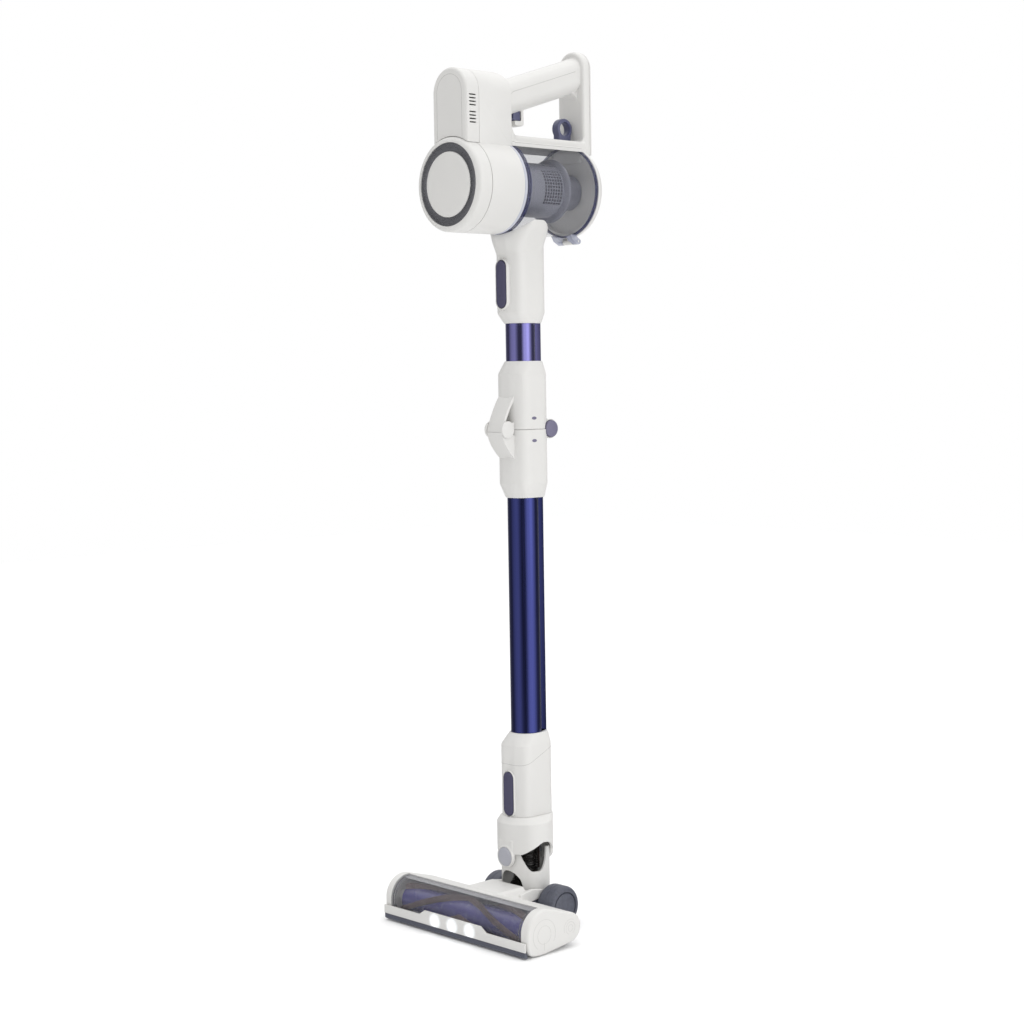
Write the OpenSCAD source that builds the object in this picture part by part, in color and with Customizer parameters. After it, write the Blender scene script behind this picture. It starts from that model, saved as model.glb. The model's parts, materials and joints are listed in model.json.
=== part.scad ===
// Cordless stick vacuum cleaner, standing upright on its floor head.
// Millimetres. The origin is on the floor under the middle of the object,
// +Z is up, -Y is the front (where the head's lights face) and +Y is the user's side.
// Y values inside the modules are measured from the wand's axis: on_wand() places them.

/* [Overall] */
// Distance from the origin back to the wand's axis
wand_y = 11; // [10:0.5:15]
// Wall thickness of the moulded shells
wall = 2.5; // [2:0.1:3]

/* [Main unit] */
// Height of the motor and dust cup axis
motor_z = 922; // [915:1:930]
// Outer radius of the motor housing and the dust cup
motor_r = 57; // [56:0.5:58]
// Width of the battery block
block_w = 61; // [58:1:64]
// Height of the battery block's top
block_top = 1062; // [1055:1:1068]
// Height of the rear plate's top
plate_top = 1100; // [1095:1:1105]
// Slope of the grip in degrees
grip_slope = 17.4; // [15:0.2:19]

/* [Wand] */
// Radius of the upper tube
upper_tube_r = 18.4; // [17.8:0.1:18.8]
// Radius of the lower tube
lower_tube_r = 21.2; // [20.8:0.1:21.6]
// Height of the split between the two halves of the fold joint
fold_z = 624; // [618:1:630]

/* [Neck] */
// Height of the side swivel's axis
swivel_z = 87; // [86:0.5:88]
// Outer radius of the neck fork
fork_r = 30.5; // [30:0.1:31]
// Outer radius of the swivel shroud
shroud_r = 35.5; // [35.5:0.1:36]

/* [Floor head] */
// Half the width of the floor head
head_hw = 132; // [128:1:136]
// Radius of the rear wheels
wheel_r = 26; // [25:0.5:26]
// Radius of the brush roll's bristles
bristle_r = 23.5; // [23:0.1:23.8]

/* [Hidden] */
$fn = 64;

block_hw = block_w / 2;
gap = 0.4;            // clearance between moving shells
run = 0.05;           // radial clearance of a running pin
eps = 0.5;            // how far a cutting shape reaches past the face it cuts
block_front = -112;
block_seam = -91;
block_rear = -38;
housing_rear = -42;
cup_front = -31;
cup_rear = 85;
lid_rear = 94;
plate_front = 94.5;
plate_rear = 110;
rail_top = 985;
roll_y = -100.5;      // brush roll axis
roll_z = 25.5;
window_z = 27;        // axis of the clear window's curve
head_front = -132;
wheel_y = 1;
wheel_in = 38;
wheel_out = 65;
neck_y = -5;          // axis of the fork and the shroud
hose_r = 16;
hose_axis = 31;       // height at which the hose leaves the head
hinge_y = -38.4;      // fold hinge axis
latch_y = 30.7;       // fold button axis
lid_pin_y = 88;
lid_pin_z = motor_z - 62;
loop_y = 78.7;
loop_z = 1001.5;
pivot_z = 983;        // pivot of the release loop
motor_y = -59;        // small motor in the floor head
shaft_r = 1.5;
white = [0.93, 0.93, 0.92];
slate = [0.29, 0.30, 0.36];
violet = [0.18, 0.16, 0.45];
plum = [0.31, 0.29, 0.45];
black = [0.09, 0.09, 0.10];

// ---- placing and outlines ----

module on_wand() translate([0, wand_y, 0]) children();

// Extrudes a (Y, Z) outline along X, or an (X, Z) outline along Y
module along_x(x0, x1) translate([x0, 0, 0]) rotate([90, 0, 90]) linear_extrude(x1 - x0) children();
module along_y(y0, y1) translate([0, y1, 0]) rotate([90, 0, 0]) linear_extrude(y1 - y0) children();
module rod_x(x0, x1, y, z, r) translate([x0, y, z]) rotate([0, 90, 0]) cylinder(h = x1 - x0, r = r);
module rod_y(y0, y1, z, r, x = 0) translate([x, y0, z]) rotate([-90, 0, 0]) cylinder(h = y1 - y0, r = r);
module rod_z(z0, z1, r, y = 0) translate([0, y, z0]) cylinder(h = z1 - z0, r = r);
module box(x0, x1, y0, y1, z0, z1) translate([x0, y0, z0]) cube([x1 - x0, y1 - y0, z1 - z0]);
module mirrored() { children(); mirror([1, 0, 0]) children(); }

function arc(cx, cy, r, a0, a1, n = 10) =
    [for (i = [0 : n]) let (a = a0 + (a1 - a0) * i / n) [cx + r * cos(a), cy + r * sin(a)]];
function round_box(x0, x1, y0, y1, r, n = 8) = concat(
    arc(x1 - r, y1 - r, r, 0, 90, n), arc(x0 + r, y1 - r, r, 90, 180, n),
    arc(x0 + r, y0 + r, r, 180, 270, n), arc(x1 - r, y0 + r, r, 270, 360, n));
// Outline of a belt round two circles
function belt(c1, r1, c2, r2, n = 16) =
    let (d = norm(c2 - c1), a = atan2(c2[1] - c1[1], c2[0] - c1[0]), b = acos((r1 - r2) / d))
    concat(arc(c1[0], c1[1], r1, a + b, a + 360 - b, n), arc(c2[0], c2[1], r2, a - b, a + b, n));
// Tombstone: straight sides and a half-round top
function tombstone(hw, z0, z1) = concat([[-hw, z0], [hw, z0]], arc(0, z1 - hw, hw, 0, 180, 24));
// Obround standing upright, in (X, Z)
function obround(hw, z0, z1) =
    concat(arc(0, z1 - hw, hw, 0, 180, 12), arc(0, z0 + hw, hw, 180, 360, 12));

// ---- floor head ----

cap_front = [-101, 28.5];
cap_rear = [-57, 25];
cap_front_r = 27.5;
cap_rear_r = 18.5;
cap_in = head_hw - 12;
module head_profile(grow = 0) polygon(belt(cap_front, cap_front_r + grow, cap_rear, cap_rear_r + grow));

bearing_r = 7;
seat_r = 8.5;
// The end caps are squarer than the cover low at the front
corner_r = 14;
corner_y = cap_front[0] - cap_front_r + corner_r;
corner_z = cap_front[1] - cap_front_r + corner_r;
module cap_profile(grow = 0) union() {
    head_profile(grow);
    polygon(concat([cap_front, [corner_y - corner_r - grow, cap_front[1]]],
        arc(corner_y, corner_z, corner_r + grow, 180, 270, 8),
        [[cap_front[0], corner_z - corner_r - grow]]));
}
module end_cap(bearing_in, bearing_out) difference() {
    union() {
        difference() {
            along_x(cap_in, head_hw) cap_profile();
            along_x(cap_in - eps, head_hw - 4) cap_profile(-wall);
        }
        // seat of the brush bearing
        rod_x(bearing_in + 0.2, head_hw - 3, roll_y, roll_z, seat_r);
    }
    rod_x(bearing_in, bearing_out, roll_y, roll_z, bearing_r);
    for (r = [11, 18]) difference() {
        rod_x(head_hw - 0.6, head_hw + eps, cap_front[0], cap_front[1] - 3, r + 0.4);
        rod_x(head_hw - 1, head_hw + 1, cap_front[0], cap_front[1] - 3, r - 0.4);
    }
    for (r = [4, 8]) difference() {
        rod_x(head_hw - 0.6, head_hw + eps, cap_rear[0], cap_rear[1], r + 0.4);
        rod_x(head_hw - 1, head_hw + 1, cap_rear[0], cap_rear[1], r - 0.4);
    }
}
bearing_right = [113.2, 118.5];
bearing_left = [116.9, 119.4];
module end_cap_right() color(white) on_wand() end_cap(bearing_right[0], bearing_right[1] + 0.1);
module end_cap_left() color(white) on_wand() mirror([1, 0, 0])
    end_cap(bearing_left[0], bearing_left[1] + 0.1);

base_out = [[-131.5, 8.8], [-130, 4.5], [-126, 2], [-80, 2], [-57, 6.5], [-44, 10]];
slot_front = -115;
slot_rear = -84;
roller_x = 95;
roller_y = -121.5;
roller_r = 5.2;
arm_in = 32;
arm_out = 37;
screw_x = [-100, -48, 48, 100];
screw_y = -46;
screw_r = 1.7;
module head_base() color(slate) on_wand() difference() {
    union() {
        along_x(-cap_in + gap, cap_in - gap)
            polygon(concat(base_out,
                [for (i = [5 : -1 : 0]) base_out[i] + [i == 0 ? 3 : 0, i == 0 ? 0 : 3]]));
        along_x(-cap_in + gap, cap_in - gap) polygon([[-126, 4], [-118, 4], [-118, 8.8], [-129, 8.8]]);
        // lip that shows under the front trim
        along_x(-129.4, 129.4) polygon([[-131.3, 9], [-131.3, 3.6], [-129, 1.4], [-126.8, 1.4],
            [-126.8, 4.6], [-129.2, 9]]);
        // wall between the brush chamber and the motor bay
        box(-cap_in + gap, cap_in - gap, -74, -72, 5, 40);
        mirrored() difference() {
            union() {
                along_x(arm_in, arm_out) polygon(belt([-46, 20], 11, [wheel_y, wheel_r], 11));
                box(arm_in, arm_out, -60, -46, 8.5, 30);
            }
            rod_x(arm_in - eps, arm_out + eps, wheel_y, wheel_r, 4 + run);
        }
    }
    box(-112, 112, slot_front, slot_rear, -1, 12);
    mirrored() {
        box(roller_x - 5, roller_x + 5, roller_y - 6, roller_y + 6.6, -1, 11);
        rod_x(roller_x - 8, roller_x + 8, roller_y, roller_r, 1.5 + run);
    }
    for (x = screw_x) translate([x, screw_y, -1]) cylinder(h = 14, r = screw_r + 0.1);
    // openings in the wall for the drive belt and for the air
    box(-cap_in, -111.5, -75, -71, 13, 39);
    box(-22, 22, -75, -71, 12, 37);
}

// Rounded wing behind the window, with a raised block that runs back to the neck
module head_cover() color(white) on_wand() difference() {
    union() {
        difference() {
            along_x(-cap_in + gap, cap_in - gap) head_profile();
            along_x(-cap_in - 1, cap_in + 1) head_profile(-wall);
            box(-cap_in - 1, cap_in + 1, -140, -98, -5, 60);
            box(-cap_in - 1, cap_in + 1, -100, -30, -5, 13);
        }
        difference() {
            along_y(-80, -36) polygon([[-46, 14], [-31, 50], [-28, 53], [28, 53], [31, 50], [46, 14]]);
            along_y(-81, -36 - wall) polygon([[-43, 13], [-28.5, 48], [28.5, 48], [43, 13]]);
            along_x(-50, 50) head_profile(-wall);
        }
        // humps over the arms that carry the neck and the wheels
        mirrored() along_x(arm_in - 0.5, arm_out + 0.5)
            polygon([[-50, 34.2], [-30, 34.2], [-4, 37.2], [-4, 41], [-12, 46.5], [-30, 49.5], [-50, 46]]);
        // screw posts
        for (x = screw_x) translate([x, screw_y, 13]) cylinder(h = 5.5, r = 3.2);
    }
    for (x = screw_x) translate([x, screw_y, 12]) cylinder(h = 5.5, r = screw_r + 0.1);
    mirrored() box(arm_in - gap, arm_out + gap, -62, -30, 5, 34);
    // way out for the hose
    rod_y(-62, -30, hose_axis, hose_r + 0.6);
}

window_r = 28.6;
module brush_window() color([0.75, 0.75, 0.82, 0.4]) on_wand() difference() {
    rod_x(-cap_in + gap, cap_in - gap, roll_y, window_z, window_r);
    rod_x(-cap_in - 1, cap_in + 1, roll_y, window_z, window_r - 1.6);
    box(-cap_in - 1, cap_in + 1, -98.2, -60, -10, 70);
    box(-cap_in - 1, cap_in + 1, -140, -60, -10, 12);
}

trim_top = 20;
trim_mid = 26.5;
led_x = 32;
led_z = 16.5;
led_r = 4.5;
module front_trim() color(white) on_wand() difference() {
    along_y(head_front, head_front + 2.4)
        polygon([[-130, 9.2], [130, 9.2], [130, trim_top], [62, trim_top], [52, trim_mid],
            [-52, trim_mid], [-62, trim_top], [-130, trim_top]]);
    for (i = [-1 : 1]) rod_y(head_front - eps, head_front + 3, led_z, led_r, i * led_x);
}
module led_lenses() color([0.95, 0.97, 1]) on_wand()
    for (i = [-1 : 1]) rod_y(head_front + 0.4, head_front + 2.4, led_z, led_r - 0.2, i * led_x);
module led_board() color([0.12, 0.35, 0.2]) on_wand()
    box(-44, 44, head_front + 2.5, -128.8, 11.5, 21.5);

roll_r = 17.5;
module brush_core() color(violet) on_wand() union() {
    rod_x(-112, 112, roll_y, roll_z, roll_r);
    rod_x(-bearing_left[1] + 0.4, bearing_right[1] - 1.5, roll_y, roll_z, 3);
    rod_x(-116.5, -112.5, roll_y, roll_z, 9);
}
// Four bristle rows that meet in a V at the middle
module bristle_strips() color([0.36, 0.30, 0.32]) on_wand()
    for (i = [0 : 3], side = [0, 1]) mirror([side, 0, 0]) translate([0, roll_y, roll_z])
        rotate([90 * i, 0, 0]) rotate([0, 90, 0])
            linear_extrude(height = 110, twist = 120, slices = 14, $fn = 8)
                translate([roll_r + run, -1.4]) square([bristle_r - roll_r - run, 2.8]);
module brush_bearings() color([0.55, 0.55, 0.58]) on_wand() difference() {
    union() {
        rod_x(bearing_right[0], bearing_right[1], roll_y, roll_z, bearing_r);
        rod_x(-bearing_left[1], -bearing_left[0], roll_y, roll_z, bearing_r);
    }
    rod_x(-cap_in, cap_in, roll_y, roll_z, 3 + run);
}

module head_motor() color([0.6, 0.6, 0.62]) on_wand() difference() {
    union() {
        rod_x(-108, -52, motor_y, 26, 12);
        rod_x(-52, -47, motor_y, 26, 5);
    }
    rod_x(-109, -96, motor_y, 26, shaft_r + run);
}
module motor_pinion() color([0.8, 0.7, 0.35]) on_wand() union() {
    rod_x(-117, -108.4, motor_y, 26, 5);
    rod_x(-109, -97, motor_y, 26, shaft_r);
}
module drive_belt() color(black) on_wand() difference() {
    along_x(-116.2, -112.8) polygon(belt([roll_y, roll_z], 10.9, [motor_y, 26], 6.9));
    along_x(-117, -112) polygon(belt([roll_y, roll_z], 9.4, [motor_y, 26], 5.4));
}

module axle_pins() color([0.7, 0.7, 0.72]) on_wand()
    mirrored() rod_x(23.5, wheel_out - 4, wheel_y, wheel_r, 4);
// Wide rear wheel: rounded tread, a ring groove and a domed hub on the outer face
module wheel() translate([0, wheel_y, wheel_r]) rotate([0, 90, 0]) rotate_extrude()
    polygon(concat([[4 + run, wheel_in], [wheel_r - 5, wheel_in]],
        arc(wheel_r - 5, wheel_in + 5, 5, -90, 0, 5), arc(wheel_r - 5, wheel_out - 5, 5, 0, 60, 5),
        [[19, wheel_out], [18.6, wheel_out - 2], [17.4, wheel_out - 2], [17, wheel_out - 0.4],
        [12, wheel_out + 0.4], [0, wheel_out + 0.6], [0, wheel_out - 3.5], [4 + run, wheel_out - 3.5]]));
module wheel_right() color(slate) on_wand() wheel();
module wheel_left() color(slate) on_wand() mirror([1, 0, 0]) wheel();
module roller() union() {
    rod_x(roller_x - 4.4, roller_x + 4.4, roller_y, roller_r, roller_r);
    rod_x(roller_x - 7, roller_x + 7, roller_y, roller_r, 1.5);
}
module front_roller_right() color(black) on_wand() roller();
module front_roller_left() color(black) on_wand() mirror([1, 0, 0]) roller();
module head_screws() color([0.7, 0.7, 0.72]) on_wand()
    for (x = screw_x) translate([x, screw_y, 10]) cylinder(h = 7, r = screw_r);

// ---- neck ----

fork_in = fork_r - wall;
fork_foot = 36;
pin_r = 4;
// Edge of the fork's saddle on each side: low at the side, high at the front and back
saddle_low = 68;
saddle_high = 89;
function saddle(y) = saddle_low + (saddle_high - saddle_low) * (1 - cos(min(abs(y), 26) * 180 / 26)) / 2;
module neck_fork() color(white) on_wand() difference() {
    union() {
        difference() {
            rod_z(fork_foot, saddle_high, fork_r, neck_y);
            rod_z(fork_foot - 1, saddle_high + 1, fork_in, neck_y);
            along_x(-40, 40) polygon(concat([for (i = [-9 : 9]) [neck_y + i * 3, saddle(i * 3)]],
                [[neck_y + 27, 95], [neck_y - 27, 95]]));
        }
        // flat ears that carry the side swivel
        for (s = [-1, 1]) intersection() {
            rod_y(s > 0 ? neck_y + fork_in - 3 : neck_y - fork_r,
                s > 0 ? neck_y + fork_r : neck_y - fork_in + 3, swivel_z, 11);
            rod_z(60, 110, fork_r, neck_y);
        }
        // legs down to the pitch axis
        mirrored() difference() {
            intersection() {
                along_x(24, 31) polygon(concat([[neck_y + 16, fork_foot + 6], [neck_y - 16, fork_foot + 6]],
                    arc(wheel_y, wheel_r, 12, 185, 355, 12)));
                rod_z(0, 60, 31, neck_y + 2);
            }
            rod_x(23, 32, wheel_y, wheel_r, 4 + run);
        }
    }
    for (s = [-1, 1]) rod_y(s > 0 ? neck_y + 20 : neck_y - 40, s > 0 ? neck_y + 40 : neck_y - 20,
        swivel_z, pin_r + run);
    // arch at the front, where the hose comes out of the head
    along_y(neck_y - 40, neck_y) polygon(obround(18.5, 0, 68));
}

hose_in = 13.5;
hose_bend = 31;
hose_split = hose_axis + hose_bend;
module hose_lower() color(black) on_wand() union() {
    translate([0, neck_y - hose_bend, hose_split]) rotate([-90, 0, 90]) rotate_extrude(angle = 90)
        translate([hose_bend, 0]) difference() {
            circle(r = hose_r);
            circle(r = hose_in);
        }
    difference() {
        rod_y(neck_y - hose_bend - 3, neck_y - hose_bend, hose_axis, hose_r);
        rod_y(neck_y - hose_bend - 4, neck_y - hose_bend + 1, hose_axis, hose_in);
    }
}
module hose_upper() color(black) on_wand() difference() {
    rod_z(hose_split + 0.1, 132, hose_r, neck_y);
    rod_z(hose_split, 133, hose_in, neck_y);
}
module neck_cable() color([0.22, 0.16, 0.15]) on_wand() box(-5, 5, neck_y + 17, neck_y + 19, 64, 128);

boss_r = 14;
ear_face = 31.2;      // flat face where shroud and fork ears meet
shroud_in = 33;
shoulder_low = 125;
shoulder_top = 137;
arch_top = 105;
function arch(y) = arch_top - (arch_top - 91) * (1 - cos(min(abs(y), 26) * 180 / 26)) / 2;
connector_round = 16.5;
module connector_section(grow = 0)
    polygon(round_box(-24 - grow, 24 + grow, -31 - grow, 29 + grow, connector_round + grow));
module tube_section(r, out, grow = 0) union() {
    circle(r = r + grow);
    translate([-8 - grow, 0]) square([16 + 2 * grow, out + grow]);
}
module swivel_shroud() color(white) on_wand() difference() {
    union() {
        difference() {
            rod_z(91, shoulder_low, shroud_r, neck_y);
            along_x(-40, 40) polygon(concat([for (i = [-9 : 9]) [neck_y + i * 3.2, arch(i * 3.2)]],
                [[neck_y + 29, 80], [neck_y - 29, 80]]));
        }
        hull() {
            translate([0, neck_y, shoulder_low]) cylinder(h = 4, r = shroud_r, $fn = 48);
            translate([0, 0, shoulder_top - 1]) linear_extrude(1) connector_section(1.5);
        }
        rod_y(neck_y - 36.4, neck_y - ear_face, swivel_z, boss_r);
        rod_y(neck_y + ear_face, neck_y + 36.4, swivel_z, boss_r);
        for (s = [-1, 1]) box(-12, 12, s > 0 ? neck_y + ear_face : neck_y - shroud_r + 0.4,
            s > 0 ? neck_y + shroud_r - 0.4 : neck_y - ear_face, swivel_z, 108);
    }
    rod_z(100, shoulder_low + 3, shroud_in, neck_y);
    intersection() {
        rod_z(60, 101, shroud_in, neck_y);
        box(-40, 40, neck_y - ear_face, neck_y + ear_face, 50, 120);
    }
    rod_z(110, 140, 19, neck_y + 4);
    rod_z(110, 140, 19, neck_y);
    for (s = [-1, 1]) {
        rod_y(s > 0 ? neck_y + 25 : neck_y - 40, s > 0 ? neck_y + 40 : neck_y - 25, swivel_z, pin_r);
        rod_y(s > 0 ? neck_y + 34.4 : neck_y - 40, s > 0 ? neck_y + 40 : neck_y - 34.4, swivel_z, 12.1);
    }
}
module swivel_pins() color([0.70, 0.70, 0.76]) on_wand() for (s = [0, 1])
    translate([0, neck_y, 0]) mirror([0, s, 0]) union() {
        rod_y(-34.6, -fork_in + 3.2, swivel_z, pin_r);
        rod_y(-37.2, -34.6, swivel_z, 12);
    }

conn_top = 241.5;
conn_taper = 227;
button_low = 138.2;
button_high = 193.5;
module button_bezel(z0, z1, front) along_y(front, front + 5) polygon(obround(9.5, z0 - 2.5, z1 + 2.5));
module head_connector() color(white) on_wand() difference() {
    union() {
        translate([0, 0, shoulder_top]) linear_extrude(conn_taper - shoulder_top) connector_section();
        hull() {
            translate([0, 0, conn_taper]) linear_extrude(0.1) connector_section();
            translate([0, 0, conn_top - 0.1]) linear_extrude(0.1)
                polygon(round_box(-22.5, 22.5, -23.5, 28, 19));
        }
        intersection() {
            button_bezel(button_low, button_high, -32.5);
            box(-20, 20, -40, 0, shoulder_top, 220);
        }
    }
    translate([0, 0, 168]) linear_extrude(80) tube_section(lower_tube_r, 29 - 4.5, gap);
    rod_z(130, 170, 19, 0);
    along_y(-40, -25.5) polygon(obround(7.4, button_low - gap, button_high + gap));
}
module release_button(z0, z1, front) along_y(front, front + 5) polygon(obround(7, z0, z1));
module lower_release_button() color(plum) on_wand() release_button(button_low, button_high, -34);
module lower_button_spring() color([0.7, 0.7, 0.72]) on_wand() rod_y(-29, -25.5, 165, 3);

// ---- wand ----

module lower_tube() color(violet) on_wand() translate([0, 0, 170]) linear_extrude(430) difference() {
    tube_section(lower_tube_r, 24.5);
    circle(r = lower_tube_r - 1.4);
    translate([-6.6, 0]) square([13.2, 23.1]);
}
module upper_tube() color(violet) on_wand() translate([0, 0, 652]) linear_extrude(138) difference() {
    tube_section(upper_tube_r, 24.5);
    circle(r = upper_tube_r - 1.4);
    translate([-6.6, 0]) square([13.2, 23.1]);
}

ear_r = 10.4;
split = 0.2;
module fold_section(grow = 0)
    polygon(round_box(-24.5 - grow, 24.5 + grow, -27.5 - grow, 31.5 + grow, 20 + grow));
module fold_body(z0, z1, taper_z) union() {
    translate([0, 0, z0]) linear_extrude(z1 - z0) fold_section();
    hull() {
        translate([0, 0, taper_z > z1 ? z1 : z0 - 0.1]) linear_extrude(0.1) fold_section();
        translate([0, 0, taper_z]) linear_extrude(0.1) polygon(round_box(-22, 22, -20, 29.5, 18));
    }
}
module side_plugs_cut(z) mirrored() translate([23.9, -1.8, z]) rotate([0, 90, 0])
    linear_extrude(2) circle(r = 2.6);
module fold_lower_housing() color(white) on_wand() difference() {
    union() {
        fold_body(556.5, fold_z - split, 538.5);
        rod_x(-6.6, 6.6, hinge_y, fold_z + 0.6, ear_r);
        box(-6.6, 6.6, hinge_y, -26, 606, fold_z - 1);
        // gusset below the hinge
        along_x(-13.5, 13.5) polygon(concat([[-26, 592]],
            arc(-26, 612.5, 20.6, 250, 180, 8), [[-46.6, 613], [-26, 613]]));
        rod_x(-20, 20, latch_y, fold_z, 12.2);
    }
    rod_x(-14, 14, hinge_y, fold_z + 0.6, 3);
    translate([0, 0, 500]) linear_extrude(100.2) tube_section(lower_tube_r, 24.5);
    rod_z(590, 630, 17, 0);
    rod_z(620, 625, 20.5, 0);
    mirrored() rod_x(10, 25, latch_y, fold_z, 10.9);
    rod_x(-11, 11, latch_y, fold_z, 6);
    side_plugs_cut(610);
}
module fold_seal() color(black) on_wand() difference() {
    rod_z(620, fold_z - 0.1, 20.4, 0);
    rod_z(619, 625, 17.2, 0);
}
module fold_upper_housing() color(white) on_wand() difference() {
    union() {
        fold_body(fold_z + split, 693, 709);
        mirrored() {
            rod_x(7, 13.5, hinge_y, fold_z + 0.6, ear_r);
            box(7, 13.5, hinge_y, -26, fold_z + 1, 642);
        }
        // strap that arches out over the hinge
        along_x(-13.5, 13.5) polygon(concat([[-26, 660]], arc(-26, 636.5, 20.6, 105, 180, 8),
            [[-42.5, 636.5]], arc(-26, 636.5, 16.5, 180, 110, 8), [[-26, 651]]));
    }
    mirrored() rod_x(6.9, 14, hinge_y, fold_z + 0.6, 3 + run);
    translate([0, 0, 652]) linear_extrude(60) tube_section(upper_tube_r, 24.5);
    rod_z(620, 655, 16.5, 0);
    rod_x(-25, 25, latch_y, fold_z, 12.7);
    side_plugs_cut(638);
}
module fold_hinge_pin() color(white) on_wand() union() {
    rod_x(-15, 15, hinge_y, fold_z + 0.6, 3);
    mirrored() rod_x(13.9, 19, hinge_y, fold_z + 0.6, ear_r);
}
module fold_button() union() {
    rod_x(13, 23.5, latch_y, fold_z, 10.5);
    rod_x(9, 13, latch_y, fold_z, 5.5);
}
module fold_button_right() color(plum) on_wand() fold_button();
module fold_button_left() color(plum) on_wand() mirror([1, 0, 0]) fold_button();
module fold_button_spring() color([0.7, 0.7, 0.72]) on_wand() rod_x(-8.8, 8.8, latch_y, fold_z, 4.5);

// ---- main unit ----

elbow_low = 756;
elbow_taper = 769;
elbow_neck = 845;
saddle_mid = 860;
saddle_top = 881;
upper_button_low = 775;
upper_button_high = 833.5;
module elbow_section(grow = 0) polygon(round_box(-22 - grow, 22 + grow, -28 - grow, 32 + grow, 18 + grow));
// Saddle outline, from the elbow's (t = 0) to an egg that's narrow in front (t = 1)
module saddle_section(t) polygon(concat(
    arc(4 + 14.5 * t, 14 + t, 18 + 2 * t, 0, 90, 8), arc(-4 - 14.5 * t, 14 + t, 18 + 2 * t, 90, 180, 8),
    arc(-4 - 5 * t, -10 - 11.5 * t, 18 - 3 * t, 180, 270, 8),
    arc(4 + 5 * t, -10 - 11.5 * t, 18 - 3 * t, 270, 360, 8)));
module elbow_duct() color(white) on_wand() difference() {
    union() {
        translate([0, 0, elbow_taper]) linear_extrude(elbow_neck - elbow_taper) elbow_section();
        hull() {
            translate([0, 0, elbow_taper]) linear_extrude(0.1) elbow_section();
            translate([0, 0, elbow_low]) linear_extrude(0.1) polygon(round_box(-20, 20, -19.5, 28.5, 17));
        }
        // saddle that flares out to wrap round the underside of the cup
        hull() {
            translate([0, 0, elbow_neck]) linear_extrude(0.1) elbow_section();
            translate([0, 0, saddle_mid]) linear_extrude(0.1) saddle_section(0.4);
        }
        hull() {
            translate([0, 0, saddle_mid]) linear_extrude(0.1) saddle_section(0.4);
            translate([0, 0, saddle_top]) linear_extrude(0.1) saddle_section(1);
        }
        button_bezel(upper_button_low, upper_button_high, -31);
    }
    rod_y(-60, 60, motor_z, motor_r + 0.1);
    translate([0, 0, 750]) linear_extrude(41) tube_section(upper_tube_r, 24.5, gap);
    rod_z(785, 880, 16.5, 0);
    along_y(-40, -24) polygon(obround(7.4, upper_button_low - gap, upper_button_high + gap));
}
module upper_release_button() color(plum) on_wand()
    release_button(upper_button_low, upper_button_high, -32.5);
module upper_button_spring() color([0.7, 0.7, 0.72]) on_wand() rod_y(-27.5, -24, 804, 3);

module round_back(y0, y1, hw, z0, z1, r) intersection() {
    along_y(y0, y1) polygon(tombstone(hw, z0, z1));
    along_x(-hw - 1, hw + 1) polygon(concat([[y0 - 1, z0 - 1], [y1, z0 - 1]],
        arc(y1 - r, z1 - r, r, 0, 90, 8), [[y0 - 1, z1]]));
}
module motor_housing() color(white) on_wand() difference() {
    union() {
        rod_y(-94.8, housing_rear, motor_z, motor_r);
        round_back(block_seam, block_rear, block_hw, 955, block_top, 16);
    }
    rod_y(-95, housing_rear - 4, motor_z, motor_r - wall);
    rod_y(housing_rear - 5, -30, motor_z, 24);
    rod_y(housing_rear, -30, motor_z, motor_r + 0.1);
    difference() {
        round_back(block_seam - 1, block_rear - wall, block_hw - wall, 955, block_top - wall, 14);
        rod_y(-95, -30, motor_z, motor_r);
    }
}
module front_bezel() color(white) on_wand() translate([0, 0, motor_z]) rotate([-90, 0, 0]) rotate_extrude()
    polygon(concat([[50, -117]], arc(50.5, -110.5, 6.5, -90, 0, 6),
        [[motor_r, -104], [motor_r, -95.3], [motor_r - 3, -95.3], [motor_r - 5, -113], [50, -113]]));
module exhaust_ring() color([0.32, 0.32, 0.35]) on_wand() difference() {
    rod_y(-116.2, -114, motor_z, 49.7);
    rod_y(-117, -113, motor_z, 39.6);
    for (i = [0 : 35], r = [42.6, 46.8]) rod_y(-117, -113, motor_z + r * sin(i * 10), 1.1, r * cos(i * 10));
}
module front_disc() color(white) on_wand() translate([0, 0, motor_z]) rotate([-90, 0, 0]) rotate_extrude()
    polygon([[0, -117.4], [36, -117.2], [38.6, -116.4], [39.3, -115], [39.3, -113], [0, -113]]);
module drive_motor() color([0.55, 0.56, 0.6]) on_wand() difference() {
    union() {
        rod_y(-88, -56, motor_z, 22);
        rod_y(-84, -78, motor_z, motor_r - wall - 0.1);
    }
    rod_y(-90, -50, motor_z, 3 + run);
    for (i = [0 : 11]) rod_y(-90, -70, motor_z + 38 * sin(i * 30), 7, 38 * cos(i * 30));
}
module impeller() color([0.75, 0.76, 0.8]) on_wand() union() {
    rod_y(-90, -43, motor_z, 3);
    rod_y(-52, -50, motor_z, 23);
    rod_y(-52, -44, motor_z, 7);
    for (i = [0 : 8]) translate([0, -48, motor_z]) rotate([0, 40 * i, 0]) box(5, 22.5, -2.5, 2.5, -0.6, 0.6);
}
module control_board() color([0.12, 0.35, 0.2]) on_wand() box(-24, 24, -47, -45.4, 984, 1028);

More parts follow.
